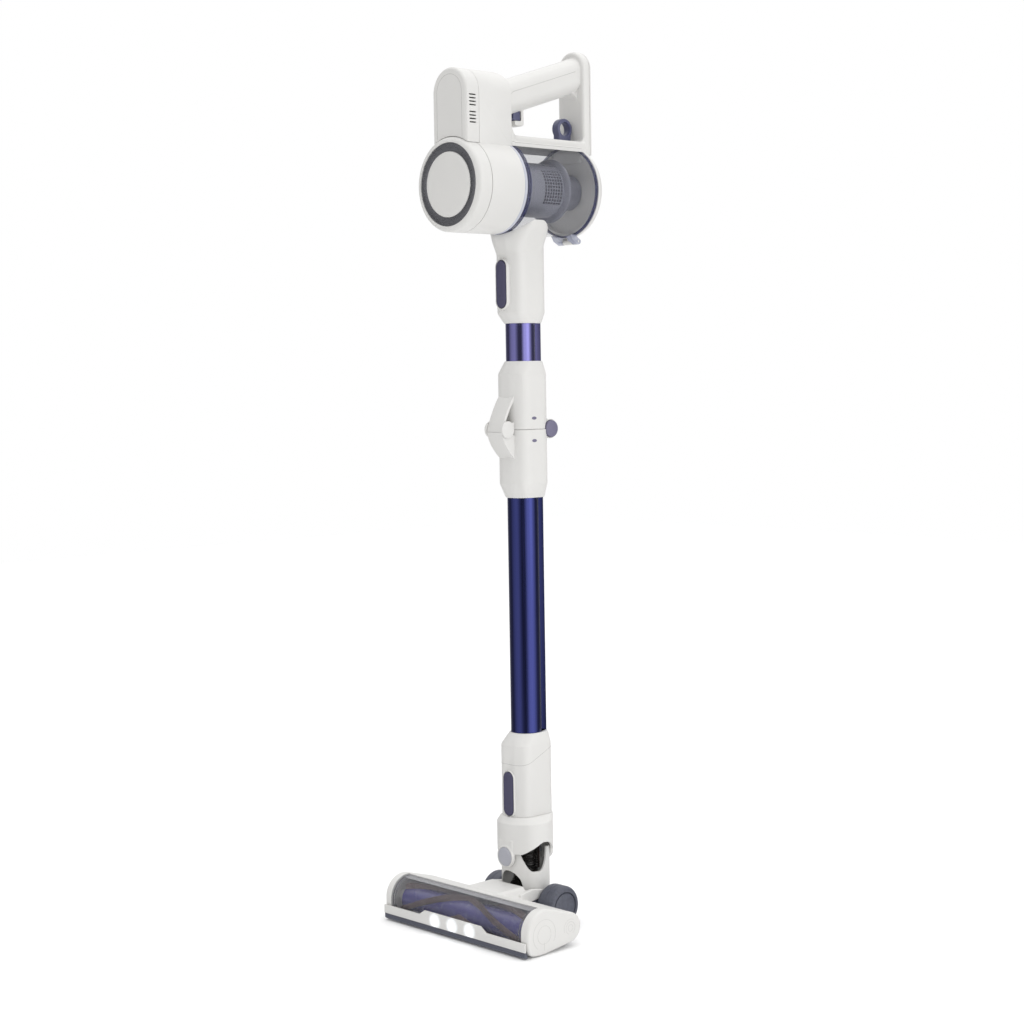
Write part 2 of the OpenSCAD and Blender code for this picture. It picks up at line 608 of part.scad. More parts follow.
module battery_cover() color(white) on_wand() difference() {
    along_y(block_front, block_seam - 0.3) polygon(tombstone(block_hw, 955, block_top));
    along_y(block_front + wall, block_seam) polygon(tombstone(block_hw - wall, 950, block_top - wall));
    rod_y(-120, -80, motor_z, motor_r + 0.6);
    // vent slots, two groups of four on each side
    for (g = [993.5, 1014], i = [0 : 3]) translate([-40, -107, g + i * 4.1]) cube([80, 11, 1.7]);
    // shallow line round the front face
    difference() {
        along_y(block_front - 1, block_front + 0.5) polygon(tombstone(22.6, 965, block_top - 8));
        along_y(block_front - 2, block_front + 1) polygon(tombstone(22, 965.6, block_top - 8.6));
    }
}
cell_y = [-99.5, -80.5, -61.5];
module battery_cells() color([0.15, 0.45, 0.6]) on_wand()
    for (y = cell_y, x = [-9.6, 9.6]) translate([x, y, 980]) cylinder(h = 65, r = 9.1);

trigger_front = -13;
trigger_low = 1005.6;
spring_z = 1011;
guard_rear = 4;
guard_low = 999;
grip_hw = 18;
grip_h = 42.5;
module grip_bar(shrink) translate([0, -7.2, 1059.4]) rotate([grip_slope, 0, 0])
    along_y(-70, 150)
        polygon(round_box(-grip_hw + shrink, grip_hw - shrink, -grip_h + shrink, -shrink, 15 - shrink));
module plate_outline(grow = 0) polygon(tombstone(23 + grow, 968 - grow, plate_top + grow));
module handle_frame() color(white) on_wand() difference() {
    union() {
        intersection() {
            grip_bar(0);
            box(-30, 30, block_rear, plate_front + 2, 950, 1110);
        }
        along_y(plate_front, plate_rear - 4) plate_outline();
        box(-24, 24, block_rear, plate_front, 966.5, rail_top);
        box(-block_hw, block_hw, block_rear, cup_rear, 966.5, rail_top - 9);
        // fillets at both ends of the rail
        along_x(-24, 24) polygon(concat([[block_rear, rail_top - 1]],
            arc(block_rear + 9, rail_top + 9, 9, 180, 270, 8), [[block_rear + 9, rail_top - 1]]));
        along_x(-22, 22) polygon(concat([[plate_front, rail_top - 1], [plate_front - 6, rail_top - 1]],
            arc(plate_front - 6, rail_top + 6, 6, 270, 360, 8)));
        // guard behind and below the trigger
        box(-8.5, 8.5, -0.5, guard_rear, guard_low, 1022);
        box(-8.5, 8.5, -11.5, guard_rear, guard_low, trigger_low - 0.6);
    }
    difference() {
        intersection() {
            grip_bar(4);
            box(-30, 30, block_rear - 1, plate_front - 6, 950, 1110);
        }
        box(-8.5, 8.5, -18, 10, 990, 1026);
    }
    rod_y(-45, cup_rear + gap, motor_z, motor_r + 0.3);
    // pocket and slot of the trigger
    box(-7.4, 7.4, -16, guard_rear - 0.9, trigger_low - 0.6, 1024);
    // slot of the release loop
    box(-6, 6, loop_y - 12, loop_y + 9, 978, 990);
    rod_x(-12, 12, loop_y, pivot_z, shaft_r + run);
    // charging socket in the rear plate
    rod_y(plate_rear - 8, plate_rear + 1, 1040, 2.75);
}
module rear_cover() color(white) on_wand() difference() {
    along_y(plate_rear - 3.9, plate_rear) plate_outline();
    rod_y(plate_rear - 8, plate_rear + 1, 1040, 2.75);
}
module trigger() color([0.35, 0.36, 0.52]) on_wand() difference() {
    along_x(-7, 7) polygon(concat([[trigger_front, 1021]],
        arc(trigger_front + 3, trigger_low + 3, 3, 180, 270, 6), [[-0.8, trigger_low], [-0.8, 1021]]));
    rod_y(-6, 0, spring_z, 2.8);
}
module trigger_spring() color([0.7, 0.7, 0.72]) on_wand() rod_y(-5.9, guard_rear - 1, spring_z, 2.5);

module release_loop() color([0.35, 0.36, 0.52]) on_wand() difference() {
    union() {
        rod_x(-5.5, 5.5, loop_y, loop_z, 13);
        box(-5.5, 5.5, loop_y - 4, loop_y + 4, pivot_z, 992);
        rod_x(-5.5, 5.5, loop_y, pivot_z, 3.4);
        rod_x(-11.6, 11.6, loop_y, pivot_z, shaft_r);
    }
    rod_x(-6, 6, loop_y, loop_z, 7);
}

ring_front = housing_rear + 0.2;
// Ring that the cup seats in, behind the motor housing
module cup_ring() color([0.60, 0.60, 0.68]) on_wand() difference() {
    rod_y(ring_front, cup_front - 6.2, motor_z, motor_r);
    rod_y(ring_front - 1, cup_front - 6, motor_z, motor_r - 6);
}
module cyclone() color(slate) on_wand() difference() {
    translate([0, 0, motor_z]) rotate([-90, 0, 0]) rotate_extrude() polygon([
        [30.5, cup_front - 6], [motor_r - 2.5, cup_front - 6],
        [motor_r - 2.5, cup_front - 3], [33, cup_front - 3],
        [33, 48], [40, 52], [40, 54], [22.5, 57], [22.5, 80], [20.5, 80], [20.5, 55], [30.5, 50]]);
    for (i = [0 : 17], j = [0 : 6]) air_hole(i * 20, 15 + j * 4.6);
}
module air_hole(a, y) translate([0, y, motor_z]) rotate([0, a, 0]) translate([28, 0, 0])
    rotate([0, 90, 0]) cylinder(h = 8, r = 0.9);
module motor_filter() color([0.9, 0.9, 0.92]) on_wand() rod_y(ring_front + 0.3, -14, motor_z, 30);
module dust_cup() color([0.72, 0.74, 0.82, 0.4]) on_wand() difference() {
    union() {
        rod_y(cup_front - 6, cup_rear, motor_z, motor_r);
        mirrored() {
            rod_x(8, 18, lid_pin_y, lid_pin_z, 4);
            box(8, 18, 78, lid_pin_y, lid_pin_z - 2, lid_pin_z + 10);
        }
    }
    rod_y(cup_front - 7, cup_rear + 1, motor_z, motor_r - 2);
    rod_z(840, 880, 16, 0);
    rod_x(-19, 19, lid_pin_y, lid_pin_z, shaft_r + run);
    box(-20, 20, cup_rear, 95, lid_pin_z + 4.2, 900);
}
module cup_lid() color(white) on_wand() difference() {
    union() {
        difference() {
            rod_y(cup_rear + gap, lid_rear, motor_z, motor_r + 0.6);
            rod_y(cup_rear, lid_rear - wall, motor_z, motor_r - 2);
        }
        difference() {
            rod_y(cup_rear - 3, cup_rear + 4, motor_z, motor_r - 3);
            rod_y(cup_rear - 4, cup_rear + 5, motor_z, motor_r - 5);
        }
        for (a = [0 : 5]) translate([0, 0, motor_z]) rotate([0, 30 + 60 * a, 0])
            box(24, motor_r - 4, cup_rear + 2, lid_rear - 1, -0.8, 0.8);
        rod_x(-7.6, 7.6, lid_pin_y, lid_pin_z, 4);
        box(-7.6, 7.6, lid_pin_y, lid_rear - 1, lid_pin_z - 1, lid_pin_z + 6);
        // hinge pin moulded onto the lid
        rod_x(-17.6, 17.6, lid_pin_y, lid_pin_z, shaft_r);
    }
    // notch under the rail
    box(-25, 25, 70, 100, 966, 990);
}

head_base();
head_cover();
end_cap_left();
end_cap_right();
brush_window();
front_trim();
led_board();
led_lenses();
brush_core();
bristle_strips();
brush_bearings();
head_motor();
motor_pinion();
drive_belt();
axle_pins();
wheel_left();
wheel_right();
front_roller_left();
front_roller_right();
head_screws();
neck_fork();
hose_lower();
hose_upper();
neck_cable();
swivel_shroud();
swivel_pins();
head_connector();
lower_release_button();
lower_button_spring();
lower_tube();
fold_lower_housing();
fold_hinge_pin();
fold_seal();
fold_button_left();
fold_button_right();
fold_button_spring();
fold_upper_housing();
upper_tube();
elbow_duct();
upper_release_button();
upper_button_spring();
motor_housing();
front_bezel();
exhaust_ring();
front_disc();
drive_motor();
impeller();
control_board();
battery_cover();
battery_cells();
handle_frame();
rear_cover();
trigger();
trigger_spring();
release_loop();
cup_ring();
cyclone();
motor_filter();
dust_cup();
cup_lid();
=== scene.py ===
"""Looks of the cordless stick vacuum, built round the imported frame.

Lengths are millimetres measured from the wand's axis (X right, Y back, Z up from the floor),
and to_row() turns them into the frame's metres.
"""
import json
import math
import random

import bmesh
import bpy
from mathutils import Matrix, Vector
from mathutils.bvhtree import BVHTree


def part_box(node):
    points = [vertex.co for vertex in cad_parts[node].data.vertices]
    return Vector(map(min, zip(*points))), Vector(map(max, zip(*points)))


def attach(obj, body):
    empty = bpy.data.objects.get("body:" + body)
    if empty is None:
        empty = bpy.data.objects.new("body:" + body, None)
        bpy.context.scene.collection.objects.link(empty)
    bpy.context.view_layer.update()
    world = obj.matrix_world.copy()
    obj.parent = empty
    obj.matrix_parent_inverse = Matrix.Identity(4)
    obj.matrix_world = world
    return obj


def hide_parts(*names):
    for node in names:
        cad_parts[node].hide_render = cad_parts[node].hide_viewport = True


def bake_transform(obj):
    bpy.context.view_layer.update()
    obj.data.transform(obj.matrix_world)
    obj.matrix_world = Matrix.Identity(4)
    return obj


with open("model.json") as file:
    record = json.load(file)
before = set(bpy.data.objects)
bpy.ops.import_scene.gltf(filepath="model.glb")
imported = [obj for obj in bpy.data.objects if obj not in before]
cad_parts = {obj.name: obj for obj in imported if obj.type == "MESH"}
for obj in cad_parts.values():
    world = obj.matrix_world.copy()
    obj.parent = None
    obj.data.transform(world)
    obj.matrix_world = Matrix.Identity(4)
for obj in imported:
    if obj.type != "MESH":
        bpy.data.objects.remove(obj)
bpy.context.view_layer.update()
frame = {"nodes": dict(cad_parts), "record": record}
nodes = frame["nodes"]
random.seed(7)

MM = 0.001
HOSE_LO, HOSE_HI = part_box("hose_upper")
NECK_Y = -5.0                                             # hose and shroud axis, from the wand's axis
WAND = (HOSE_LO.y + HOSE_HI.y) / 2 - NECK_Y * MM          # wand's axis in the row frame


class Span:
    """A CAD node's box in millimetres from the wand's axis."""

    def __init__(self, node):
        lo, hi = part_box(node)
        self.x0, self.x1 = lo.x / MM, hi.x / MM
        self.y0, self.y1 = (lo.y - WAND) / MM, (hi.y - WAND) / MM
        self.z0, self.z1 = lo.z / MM, hi.z / MM
        self.x, self.y, self.z = (self.x0 + self.x1) / 2, (self.y0 + self.y1) / 2, (self.z0 + self.z1) / 2


def to_row(p):
    return Vector((p[0] * MM, p[1] * MM + WAND, p[2] * MM))


DISC, GRILLE, BEZEL = Span("front_disc"), Span("exhaust_ring"), Span("front_bezel")
CUP, RING, LID, CYCLONE = Span("dust_cup"), Span("cup_ring"), Span("cup_lid"), Span("cyclone")
HANDLE, PLATE, ELBOW = Span("handle_frame"), Span("rear_cover"), Span("elbow_duct")
ROLL, TRIM, LENSES, WINDOW = Span("brush_core"), Span("front_trim"), Span("led_lenses"), Span("brush_window")
CUP_END = LID.y1 - 9.4                                    # rear rim of the cup, behind its hinge lugs
MOTOR_Z = DISC.z
MOTOR_R = (BEZEL.x1 - BEZEL.x0) / 2
MOTOR_AXIS = (0, MOTOR_Z)
HINGE = (88, 860)                                         # lid hinge, below the cup's rear rim
SOCKET_Z = 1040                                           # charging socket in the rear cover


# ---- materials

def material(name):
    mat = bpy.data.materials.new(name)
    mat.use_nodes = True
    return mat, mat.node_tree, mat.node_tree.nodes["Principled BSDF"]


def feed(node, inputs):
    """Sets a node's inputs, each to a value or to another node's output."""
    for key, value in inputs.items():
        if isinstance(value, bpy.types.NodeSocket):
            node.id_data.links.new(value, node.inputs[key])
        else:
            node.inputs[key].default_value = value
    return node


def add(tree, kind, inputs, **settings):
    node = tree.nodes.new("ShaderNode" + kind)
    for key, value in settings.items():
        setattr(node, key, value)
    return feed(node, inputs)


def coordinates(tree, scale=(1, 1, 1)):
    """Object coordinates in metres, scaled per axis."""
    coord = add(tree, "TexCoord", {})
    return add(tree, "Mapping", {"Scale": scale, "Vector": coord.outputs["Object"]}).outputs["Vector"]


def noise(tree, scale, detail=3.0, stretch=(1, 1, 1)):
    inputs = {"Scale": scale, "Detail": detail, "Vector": coordinates(tree, stretch)}
    return add(tree, "TexNoise", inputs).outputs["Fac"]


def ramp(tree, source, stops):
    """Maps a value through colour stops [(position, colour)]."""
    node = add(tree, "ValToRGB", {"Fac": source})
    while len(node.color_ramp.elements) < len(stops):
        node.color_ramp.elements.new(0.5)
    for element, (position, colour) in zip(node.color_ramp.elements, stops):
        element.position = position
        element.color = (*colour, 1)
    return node.outputs["Color"]


def vary(tree, source, low, high):
    return ramp(tree, source, [(0.3, low), (0.7, high)])


def bump(tree, source, strength, distance):
    return add(tree, "Bump", {"Strength": strength, "Distance": distance, "Height": source}).outputs["Normal"]


def grey(value):
    return (value, value, value)


def tint(colour, factor):
    return tuple(min(1.0, c * factor) for c in colour)


def moulded(name, colour, roughness, spread=0.02, metallic=0.0, coat=0.0):
    """Moulded plastic: a fine spark-eroded grain, slow colour drift and slightly uneven gloss."""
    mat, tree, shader = material(name)
    feed(shader, {
        "Base Color": vary(tree, noise(tree, 22.0, 2.0), tint(colour, 1 - spread), tint(colour, 1 + spread)),
        "Roughness": vary(tree, noise(tree, 160.0, 4.0), grey(roughness - 0.04), grey(roughness + 0.05)),
        "Normal": bump(tree, noise(tree, 2600.0, 2.0), 0.25, 0.00004),
        "Metallic": metallic, "Coat Weight": coat, "Coat Roughness": 0.12})
    return mat


def anodised(name, dark, bright, roughness):
    """Anodised aluminium extrusion: fine draw lines along Z in colour, gloss and bump."""
    mat, tree, shader = material(name)
    lines = noise(tree, 900.0, 3.0, (1, 1, 0.006))
    feed(shader, {"Base Color": vary(tree, lines, dark, bright),
                  "Roughness": vary(tree, lines, grey(roughness - 0.05), grey(roughness + 0.07)),
                  "Normal": bump(tree, lines, 0.12, 0.00003), "Metallic": 1.0})
    return mat


def clear(name, colour, alpha, roughness=0.04):
    """Clear moulded plastic: mostly see-through, with faint flow marks in the gloss."""
    mat, tree, shader = material(name)
    marks = noise(tree, 60.0)
    feed(shader, {"Base Color": (*colour, 1), "Alpha": alpha, "IOR": 1.55,
                  "Roughness": vary(tree, marks, grey(roughness), grey(roughness + 0.05)),
                  "Normal": bump(tree, marks, 0.05, 0.0001)})
    return mat


def cloth(name, colour, scale, roughness=0.85, stretch=(1, 1, 1)):
    """Fibres or felt: strong fine contrast along the given stretch."""
    mat, tree, shader = material(name)
    fibre = noise(tree, scale, 6.0, stretch)
    feed(shader, {"Base Color": vary(tree, fibre, tint(colour, 0.55), tint(colour, 1.5)),
                  "Roughness": roughness, "Normal": bump(tree, fibre, 0.6, 0.0003)})
    return mat


def rubber(name, colour, roughness):
    """Rubber with a trace of dust."""
    mat, tree, shader = material(name)
    dust = noise(tree, 300.0, 5.0)
    feed(shader, {"Base Color": ramp(tree, dust, [(0.35, colour), (0.75, tint(colour, 1.5))]),
                  "Roughness": vary(tree, dust, grey(roughness - 0.1), grey(roughness + 0.1)),
                  "Normal": bump(tree, dust, 0.2, 0.0001)})
    return mat


def turned(name, colour, roughness):
    """Machined or rolled metal with fine turning marks."""
    mat, tree, shader = material(name)
    marks = noise(tree, 500.0, 3.0, (0.08, 1, 1))
    feed(shader, {"Base Color": vary(tree, marks, tint(colour, 0.85), tint(colour, 1.1)),
                  "Roughness": vary(tree, marks, grey(roughness - 0.08), grey(roughness + 0.1)),
                  "Normal": bump(tree, marks, 0.15, 0.00005), "Metallic": 1.0})
    return mat


def lit(name, colour, strength):
    """A lit LED lens."""
    mat, tree, shader = material(name)
    feed(shader, {"Base Color": (*colour, 1), "Emission Color": (*colour, 1), "Emission Strength": strength,
                  "Roughness": 0.15, "Normal": bump(tree, noise(tree, 400.0, 2.0), 0.1, 0.0001)})
    return mat


def circuit(name):
    """Green solder mask over faint copper tracks."""
    mat, tree, shader = material(name)
    tracks = add(tree, "TexBrick", {"Scale": 220.0, "Color1": (0.02, 0.13, 0.05, 1), "Color2": (0.03, 0.17, 0.07, 1),
                                    "Mortar": (0.10, 0.30, 0.12, 1), "Vector": coordinates(tree)})
    feed(shader, {"Base Color": tracks.outputs["Color"], "Roughness": 0.35})
    return mat


WHITE = (0.715, 0.708, 0.69)
MATERIALS = {name: make(name, *settings) for make, name, *settings in (
    (moulded, "white_plastic", WHITE, 0.36, 0.012),
    (moulded, "slate_plastic", (0.085, 0.09, 0.12), 0.42, 0.06),
    (rubber, "slate_wheel", (0.062, 0.066, 0.088), 0.5),
    (anodised, "violet_tube", (0.035, 0.042, 0.155), (0.045, 0.052, 0.18), 0.27),
    # painted light: a lighter copy of violet_tube, so the upper tube shows brighter reflections than the lower one
    (anodised, "violet_pale", (0.145, 0.138, 0.33), (0.165, 0.156, 0.36), 0.2),
    (moulded, "violet_roll", (0.035, 0.028, 0.20), 0.25, 0.05, 0.0, 0.5),
    (cloth, "bristle_fibre", (0.17, 0.12, 0.115), 1800.0, 0.8, (1, 0.15, 0.15)),
    (moulded, "plum_button", (0.062, 0.058, 0.115), 0.4, 0.05),
    (moulded, "slate_blue", (0.085, 0.09, 0.17), 0.38, 0.05),
    (moulded, "pivot_cap", (0.42, 0.425, 0.475), 0.33, 0.02),
    (moulded, "ring_plastic", (0.54, 0.555, 0.63), 0.25, 0.015),
    (rubber, "black_rubber", (0.013, 0.012, 0.011), 0.22),
    (moulded, "black_plastic", (0.03, 0.03, 0.034), 0.45, 0.06),
    (cloth, "cable_sleeve", (0.05, 0.03, 0.027), 1400.0, 0.6, (1, 1, 0.3)),
    (clear, "clear_smoke", (0.15, 0.155, 0.185), 0.14),
    (lit, "led_lens", (0.93, 0.96, 1.0), 4.0),
    (circuit, "circuit_board"),
    (turned, "bearing_steel", (0.55, 0.55, 0.57), 0.28),
    (turned, "motor_metal", (0.5, 0.51, 0.54), 0.35),
    (turned, "brass_pinion", (0.75, 0.6, 0.3), 0.3),
    (moulded, "dark_mesh", (0.24, 0.24, 0.26), 0.28, 0.1, 0.85),
    (moulded, "cell_wrap", (0.03, 0.035, 0.05), 0.3, 0.05),
    (cloth, "filter_felt", (0.6, 0.6, 0.62), 900.0),
)}


# ---- outlines, in millimetres

def arc(cx, cy, r, a0, a1, n=10):
    return [(cx + r * math.cos(math.radians(a0 + (a1 - a0) * i / n)),
             cy + r * math.sin(math.radians(a0 + (a1 - a0) * i / n))) for i in range(n + 1)]


def rect(x0, x1, y0, y1):
    return [(x0, y0), (x1, y0), (x1, y1), (x0, y1)]


def round_box(x0, x1, y0, y1, r, n=10):
    return (arc(x1 - r, y1 - r, r, 0, 90, n) + arc(x0 + r, y1 - r, r, 90, 180, n)
            + arc(x0 + r, y0 + r, r, 180, 270, n) + arc(x1 - r, y0 + r, r, 270, 360, n))


def circle(cx, cy, r, n=64):
    return arc(cx, cy, r, 0, 360 - 360 / n, n - 1)


def tombstone(hw, z0, z1, n=32):
    """A half circle over a box with small lower corners."""
    r = 2.0
    return arc(0, z1 - hw, hw, 0, 180, n) + arc(-hw + r, z0 + r, r, 180, 270, 4) + arc(hw - r, z0 + r, r, 270, 360, 4)


def obround(hw, z0, z1, n=20):
    return arc(0, z1 - hw, hw, 0, 180, n) + arc(0, z0 + hw, hw, 180, 360, n)


def oval(cx, cy, a, b, n=36):
    return [(cx + a * math.cos(2 * math.pi * i / n), cy + b * math.sin(2 * math.pi * i / n)) for i in range(n)]


def boxes(levels):
    """Rounded boxes stacked along Z, each (height, half width, front, rear, corner radius)."""
    return [[(u, v, z) for u, v in round_box(-hw, hw, a, b, r, 14)] for z, hw, a, b, r in levels]


def belt(c1, r1, c2, r2, n=30):
    d = math.dist(c1, c2)
    a = math.degrees(math.atan2(c2[1] - c1[1], c2[0] - c1[0]))
    b = math.degrees(math.acos((r1 - r2) / d))
    return arc(*c1, r1, a + b, a + 360 - b, n) + arc(*c2, r2, a - b, a + b, n)


def tube_outline(r, grow=0.0):
    """Section of a wand tube: round, with a flat-backed rib along its rear."""
    half, out, corner = 9.0 + grow, 27.6 + grow, 1.6
    lean = math.degrees(math.asin(half / (r + grow)))
    return (arc(0, 0, r + grow, 90 + lean, 450 - lean, 72)
            + arc(half - corner, out - corner, corner, 0, 90, 4)
            + arc(corner - half, out - corner, corner, 90, 180, 4))


def inset(outline, d):
    """The outline moved inwards by d (outline runs anticlockwise)."""
    out = []
    count = len(outline)
    for i, p in enumerate(outline):
        a, b = outline[i - 1], outline[(i + 1) % count]
        tx, ty = b[0] - a[0], b[1] - a[1]
        length = math.hypot(tx, ty) or 1.0
        out.append((p[0] - ty / length * d, p[1] + tx / length * d))
    return out


def along_x(u, v, w):
    return (w, u, v)


def along_y(u, v, w):
    return (u, w, v)


def along_z(u, v, w):
    return (u, v, w)


# ---- meshes

def linked(name, data):
    obj = bpy.data.objects.new(name, data)
    bpy.context.scene.collection.objects.link(obj)
    return obj


def mesh_object(name, verts, faces):
    mesh = bpy.data.meshes.new(name)
    mesh.from_pydata([to_row(v) for v in verts], [], faces)
    work = bmesh.new()
    work.from_mesh(mesh)
    bmesh.ops.remove_doubles(work, verts=work.verts, dist=1e-7)
    bmesh.ops.recalc_face_normals(work, faces=work.faces)
    work.to_mesh(mesh)
    work.free()
    return linked(name, mesh)


def loft(name, rings, closed=False):
    """Skins rings of equal length; open lofts get end faces, closed ones join up."""
    n, count = len(rings[0]), len(rings)
    verts = [p for ring in rings for p in ring]
    faces = []
    for i in range(count if closed else count - 1):
        j = (i + 1) % count
        faces += [(i * n + k, i * n + (k + 1) % n, j * n + (k + 1) % n, j * n + k) for k in range(n)]
    if not closed:
        faces += [tuple(reversed(range(n))), tuple((count - 1) * n + k for k in range(n))]
    return mesh_object(name, verts, faces)


def lathe(name, profile, centre, n=128, way=along_y):
    """Turns a closed (r, along) profile round an axis through centre."""
    return loft(name, [[way(centre[0] + r * math.cos(a), centre[1] + r * math.sin(a), w) for r, w in profile]
                       for a in (2 * math.pi * k / n for k in range(n))], closed=True)


def slab(name, outline, w0, w1, way=along_y, r0=0.0, r1=0.0, steps=5):
    """An extruded outline whose edges are rounded by r0 at w0 and r1 at w1."""
    turn = [math.pi / 2 * i / steps for i in range(steps + 1)]
    levels = [(r0 * (1 - math.sin(a)), w0 + r0 * (1 - math.cos(a))) for a in (turn if r0 else turn[:1])]
    levels += [(r1 * (1 - math.sin(a)), w1 - r1 * (1 - math.cos(a))) for a in (turn[::-1] if r1 else turn[:1])]
    return loft(name, [[way(u, v, w) for u, v in inset(outline, d)] for d, w in levels])


def side_slab(name, outline, side, near, far, r_near=0.0, r_far=0.0, steps=5):
    """A slab along X between two distances from the middle plane, on one side of it."""
    if side > 0:
        return slab(name, outline, near, far, along_x, r_near, r_far, steps)
    return slab(name, outline, -far, -near, along_x, r_far, r_near, steps)


def sheet(name, rows, around, corner, hole, thickness, offset):
    """A thin ring of rows x around cells with a corner(i, k) each, left out where hole(i, k)."""
    verts = [corner(i, k) for i in range(rows + 1) for k in range(around)]
    faces = []
    for i in range(rows):
        for k in range(around):
            if not hole(i, k):
                m = (k + 1) % around
                faces.append((i * around + k, i * around + m, (i + 1) * around + m, (i + 1) * around + k))
    obj = mesh_object(name, verts, faces)
    solid = obj.modifiers.new("sheet", "SOLIDIFY")
    solid.thickness, solid.offset = thickness * MM, offset
    return bake(obj)


def mirror(*objs):
    """Flips meshes to the other side of the middle plane."""
    for obj in objs:
        for v in obj.data.vertices:
            v.co.x = -v.co.x
        obj.data.flip_normals()


def tube(name, points, radius, sides, closed=False):
    """A thin round bead along a list of 3D points."""
    pts = [Vector(p) for p in points]
    count = len(pts)
    rings = []
    up = Vector((0.13, 0.21, 0.97))
    for i, p in enumerate(pts):
        a = pts[i - 1] if (i or closed) else p
        b = pts[(i + 1) % count] if (i < count - 1 or closed) else p
        t = (b - a).normalized()
        side = t.cross(up)
        if side.length < 0.2:
            side = t.cross(Vector((1, 0, 0)))
        side.normalize()
        other = t.cross(side).normalized()
        rings.append([p + (side * math.cos(2 * math.pi * k / sides)
                           + other * math.sin(2 * math.pi * k / sides)) * radius for k in range(sides)])
    return loft(name, rings, closed)


def bake(obj):
    """Applies every modifier to the mesh."""
    graph = bpy.context.evaluated_depsgraph_get()
    mesh = bpy.data.meshes.new_from_object(obj.evaluated_get(graph))
    obj.modifiers.clear()
    obj.data = mesh
    return obj


def carve(obj, *cutters):
    for cutter in cutters:
        mod = obj.modifiers.new("carve", "BOOLEAN")
        mod.object = cutter
        mod.operation = "DIFFERENCE"
        mod.solver = "EXACT"
        bake(obj)
        bpy.data.objects.remove(cutter)
    return obj


def join(name, *parts):
    """Puts the meshes of several objects in one object."""
    work = bmesh.new()
    for part in parts:
        work.from_mesh(part.data)
        bpy.data.objects.remove(part)
    mesh = bpy.data.meshes.new(name)
    work.to_mesh(mesh)
    work.free()
    return linked(name, mesh)


def soften(obj, voxel=0.8, passes=6):
    """Fuses overlapping closed shells and rounds every edge, as a moulding's fillets are."""
    remesh = obj.modifiers.new("fuse", "REMESH")
    remesh.mode = "VOXEL"
    remesh.voxel_size = voxel * MM
    smooth = obj.modifiers.new("fillet", "SMOOTH")
    smooth.factor = 0.5
    smooth.iterations = passes
    return bake(obj)


def copy_of(node, name):
    """A loose copy of a CAD node's mesh, welded so that its edges can be rounded."""
    mesh = nodes[node].data.copy()
    work = bmesh.new()
    work.from_mesh(mesh)
    bmesh.ops.remove_doubles(work, verts=work.verts, dist=1e-6)
    bmesh.ops.dissolve_limit(work, angle_limit=math.radians(0.6), verts=work.verts, edges=work.edges)
    work.to_mesh(mesh)
    work.free()
    return linked(name, mesh)


def round_edges(obj, width, segments=3, angle=32):
    mod = obj.modifiers.new("edges", "BEVEL")
    mod.width = width * MM
    mod.segments = segments
    mod.limit_method = "ANGLE"
    mod.angle_limit = math.radians(angle)
    return bake(obj)


def place(obj, body, slot, *replaced, angle=35, look=None):
    """Gives a finished piece its material, its shading and the body it moves with, if only one."""
    obj.data.materials.clear()
    obj.data.materials.append(look or MATERIALS[slot])
    obj.data.shade_smooth()
    obj.data.set_sharp_from_angle(angle=math.radians(angle))
    if body:
        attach(obj, body)
    if replaced:
        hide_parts(*replaced)
    return obj


SEAM = moulded("seam_shadow", (0.36, 0.355, 0.34), 0.7)


def seam(name, body, surface, points, closed=False, lift=-0.1):
    """A parting line: a thin shaded bead sunk in the spots of a surface nearest to points."""
    tree = BVHTree.FromObject(surface, bpy.context.evaluated_depsgraph_get())
    spots = []
    for p in points:
        spot, normal, _, _ = tree.find_nearest(to_row(p))
        spot = spot + normal * lift * MM
        spots.append((spot.x / MM, (spot.y - WAND) / MM, spot.z / MM))
    place(tube(name, spots, 0.22, 6, closed), body, "white_plastic", look=SEAM)


# ---- main unit

def motor_front():
    r, y0, y1 = MOTOR_R, BEZEL.y0, BEZEL.y1
    lip = GRILLE.x1 + 0.4
    profile = ([(lip, y0 + 3), (lip, y0 + 0.8)] + arc(lip + 0.8, y0 + 0.8, 0.8, 202.9, 248.8, 2) + [(lip + 1.0, y0)]
               + arc(r - 6.5, y0 + 6.5, 6.5, -67.5, 0, 9)
               + [(r, y1 - 0.5), (r - 0.5, y1), (r - 3, y1), (r - 5, y0 + 4)])
    place(lathe("bezel_shell", profile, MOTOR_AXIS, 192), "main_unit", "white_plastic", "front_bezel")
    rim = DISC.x1
    dome = [(0.001, 0), (rim * 0.5, 0.1), (rim * 0.85, 0.45), (rim - 1.2, 0.9), (rim - 0.4, 1.3), (rim, 2.0)]
    dome = [(u, DISC.y0 + w) for u, w in dome] + [(rim, DISC.y1), (0.001, DISC.y1)]
    place(lathe("disc_face", dome, MOTOR_AXIS, 160), "main_unit", "white_plastic", "front_disc", angle=25)
    grille()


def grille():
    """Fine perforated ring round the disc: real holes in a thin sheet over a dark back."""
    inner, outer = DISC.x1 + 0.35, GRILLE.x1
    rows, around = 13, 420

    def corner(i, k):
        r = inner + (outer - inner) * i / rows
        a = 2 * math.pi * (k + 0.5 * (i % 2)) / around
        return r * math.cos(a), GRILLE.y0 + 0.5 + (i / rows - 0.5) ** 2, MOTOR_Z + r * math.sin(a)

    mesh = sheet("grille_sheet", rows, around, corner, lambda i, k: i % 2 == 1 and k % 2 == 1, 0.5, -1)
    place(mesh, "main_unit", "dark_mesh", "exhaust_ring")
    back = lathe("grille_back", rect(inner, outer, GRILLE.y1 - 0.3, GRILLE.y1), MOTOR_AXIS, 96)
    place(back, "main_unit", "black_plastic")


def motor_body():
    body = round_edges(copy_of("motor_housing", "motor_body"), 0.7)
    place(body, "main_unit", "white_plastic", "motor_housing")
    battery_cover()


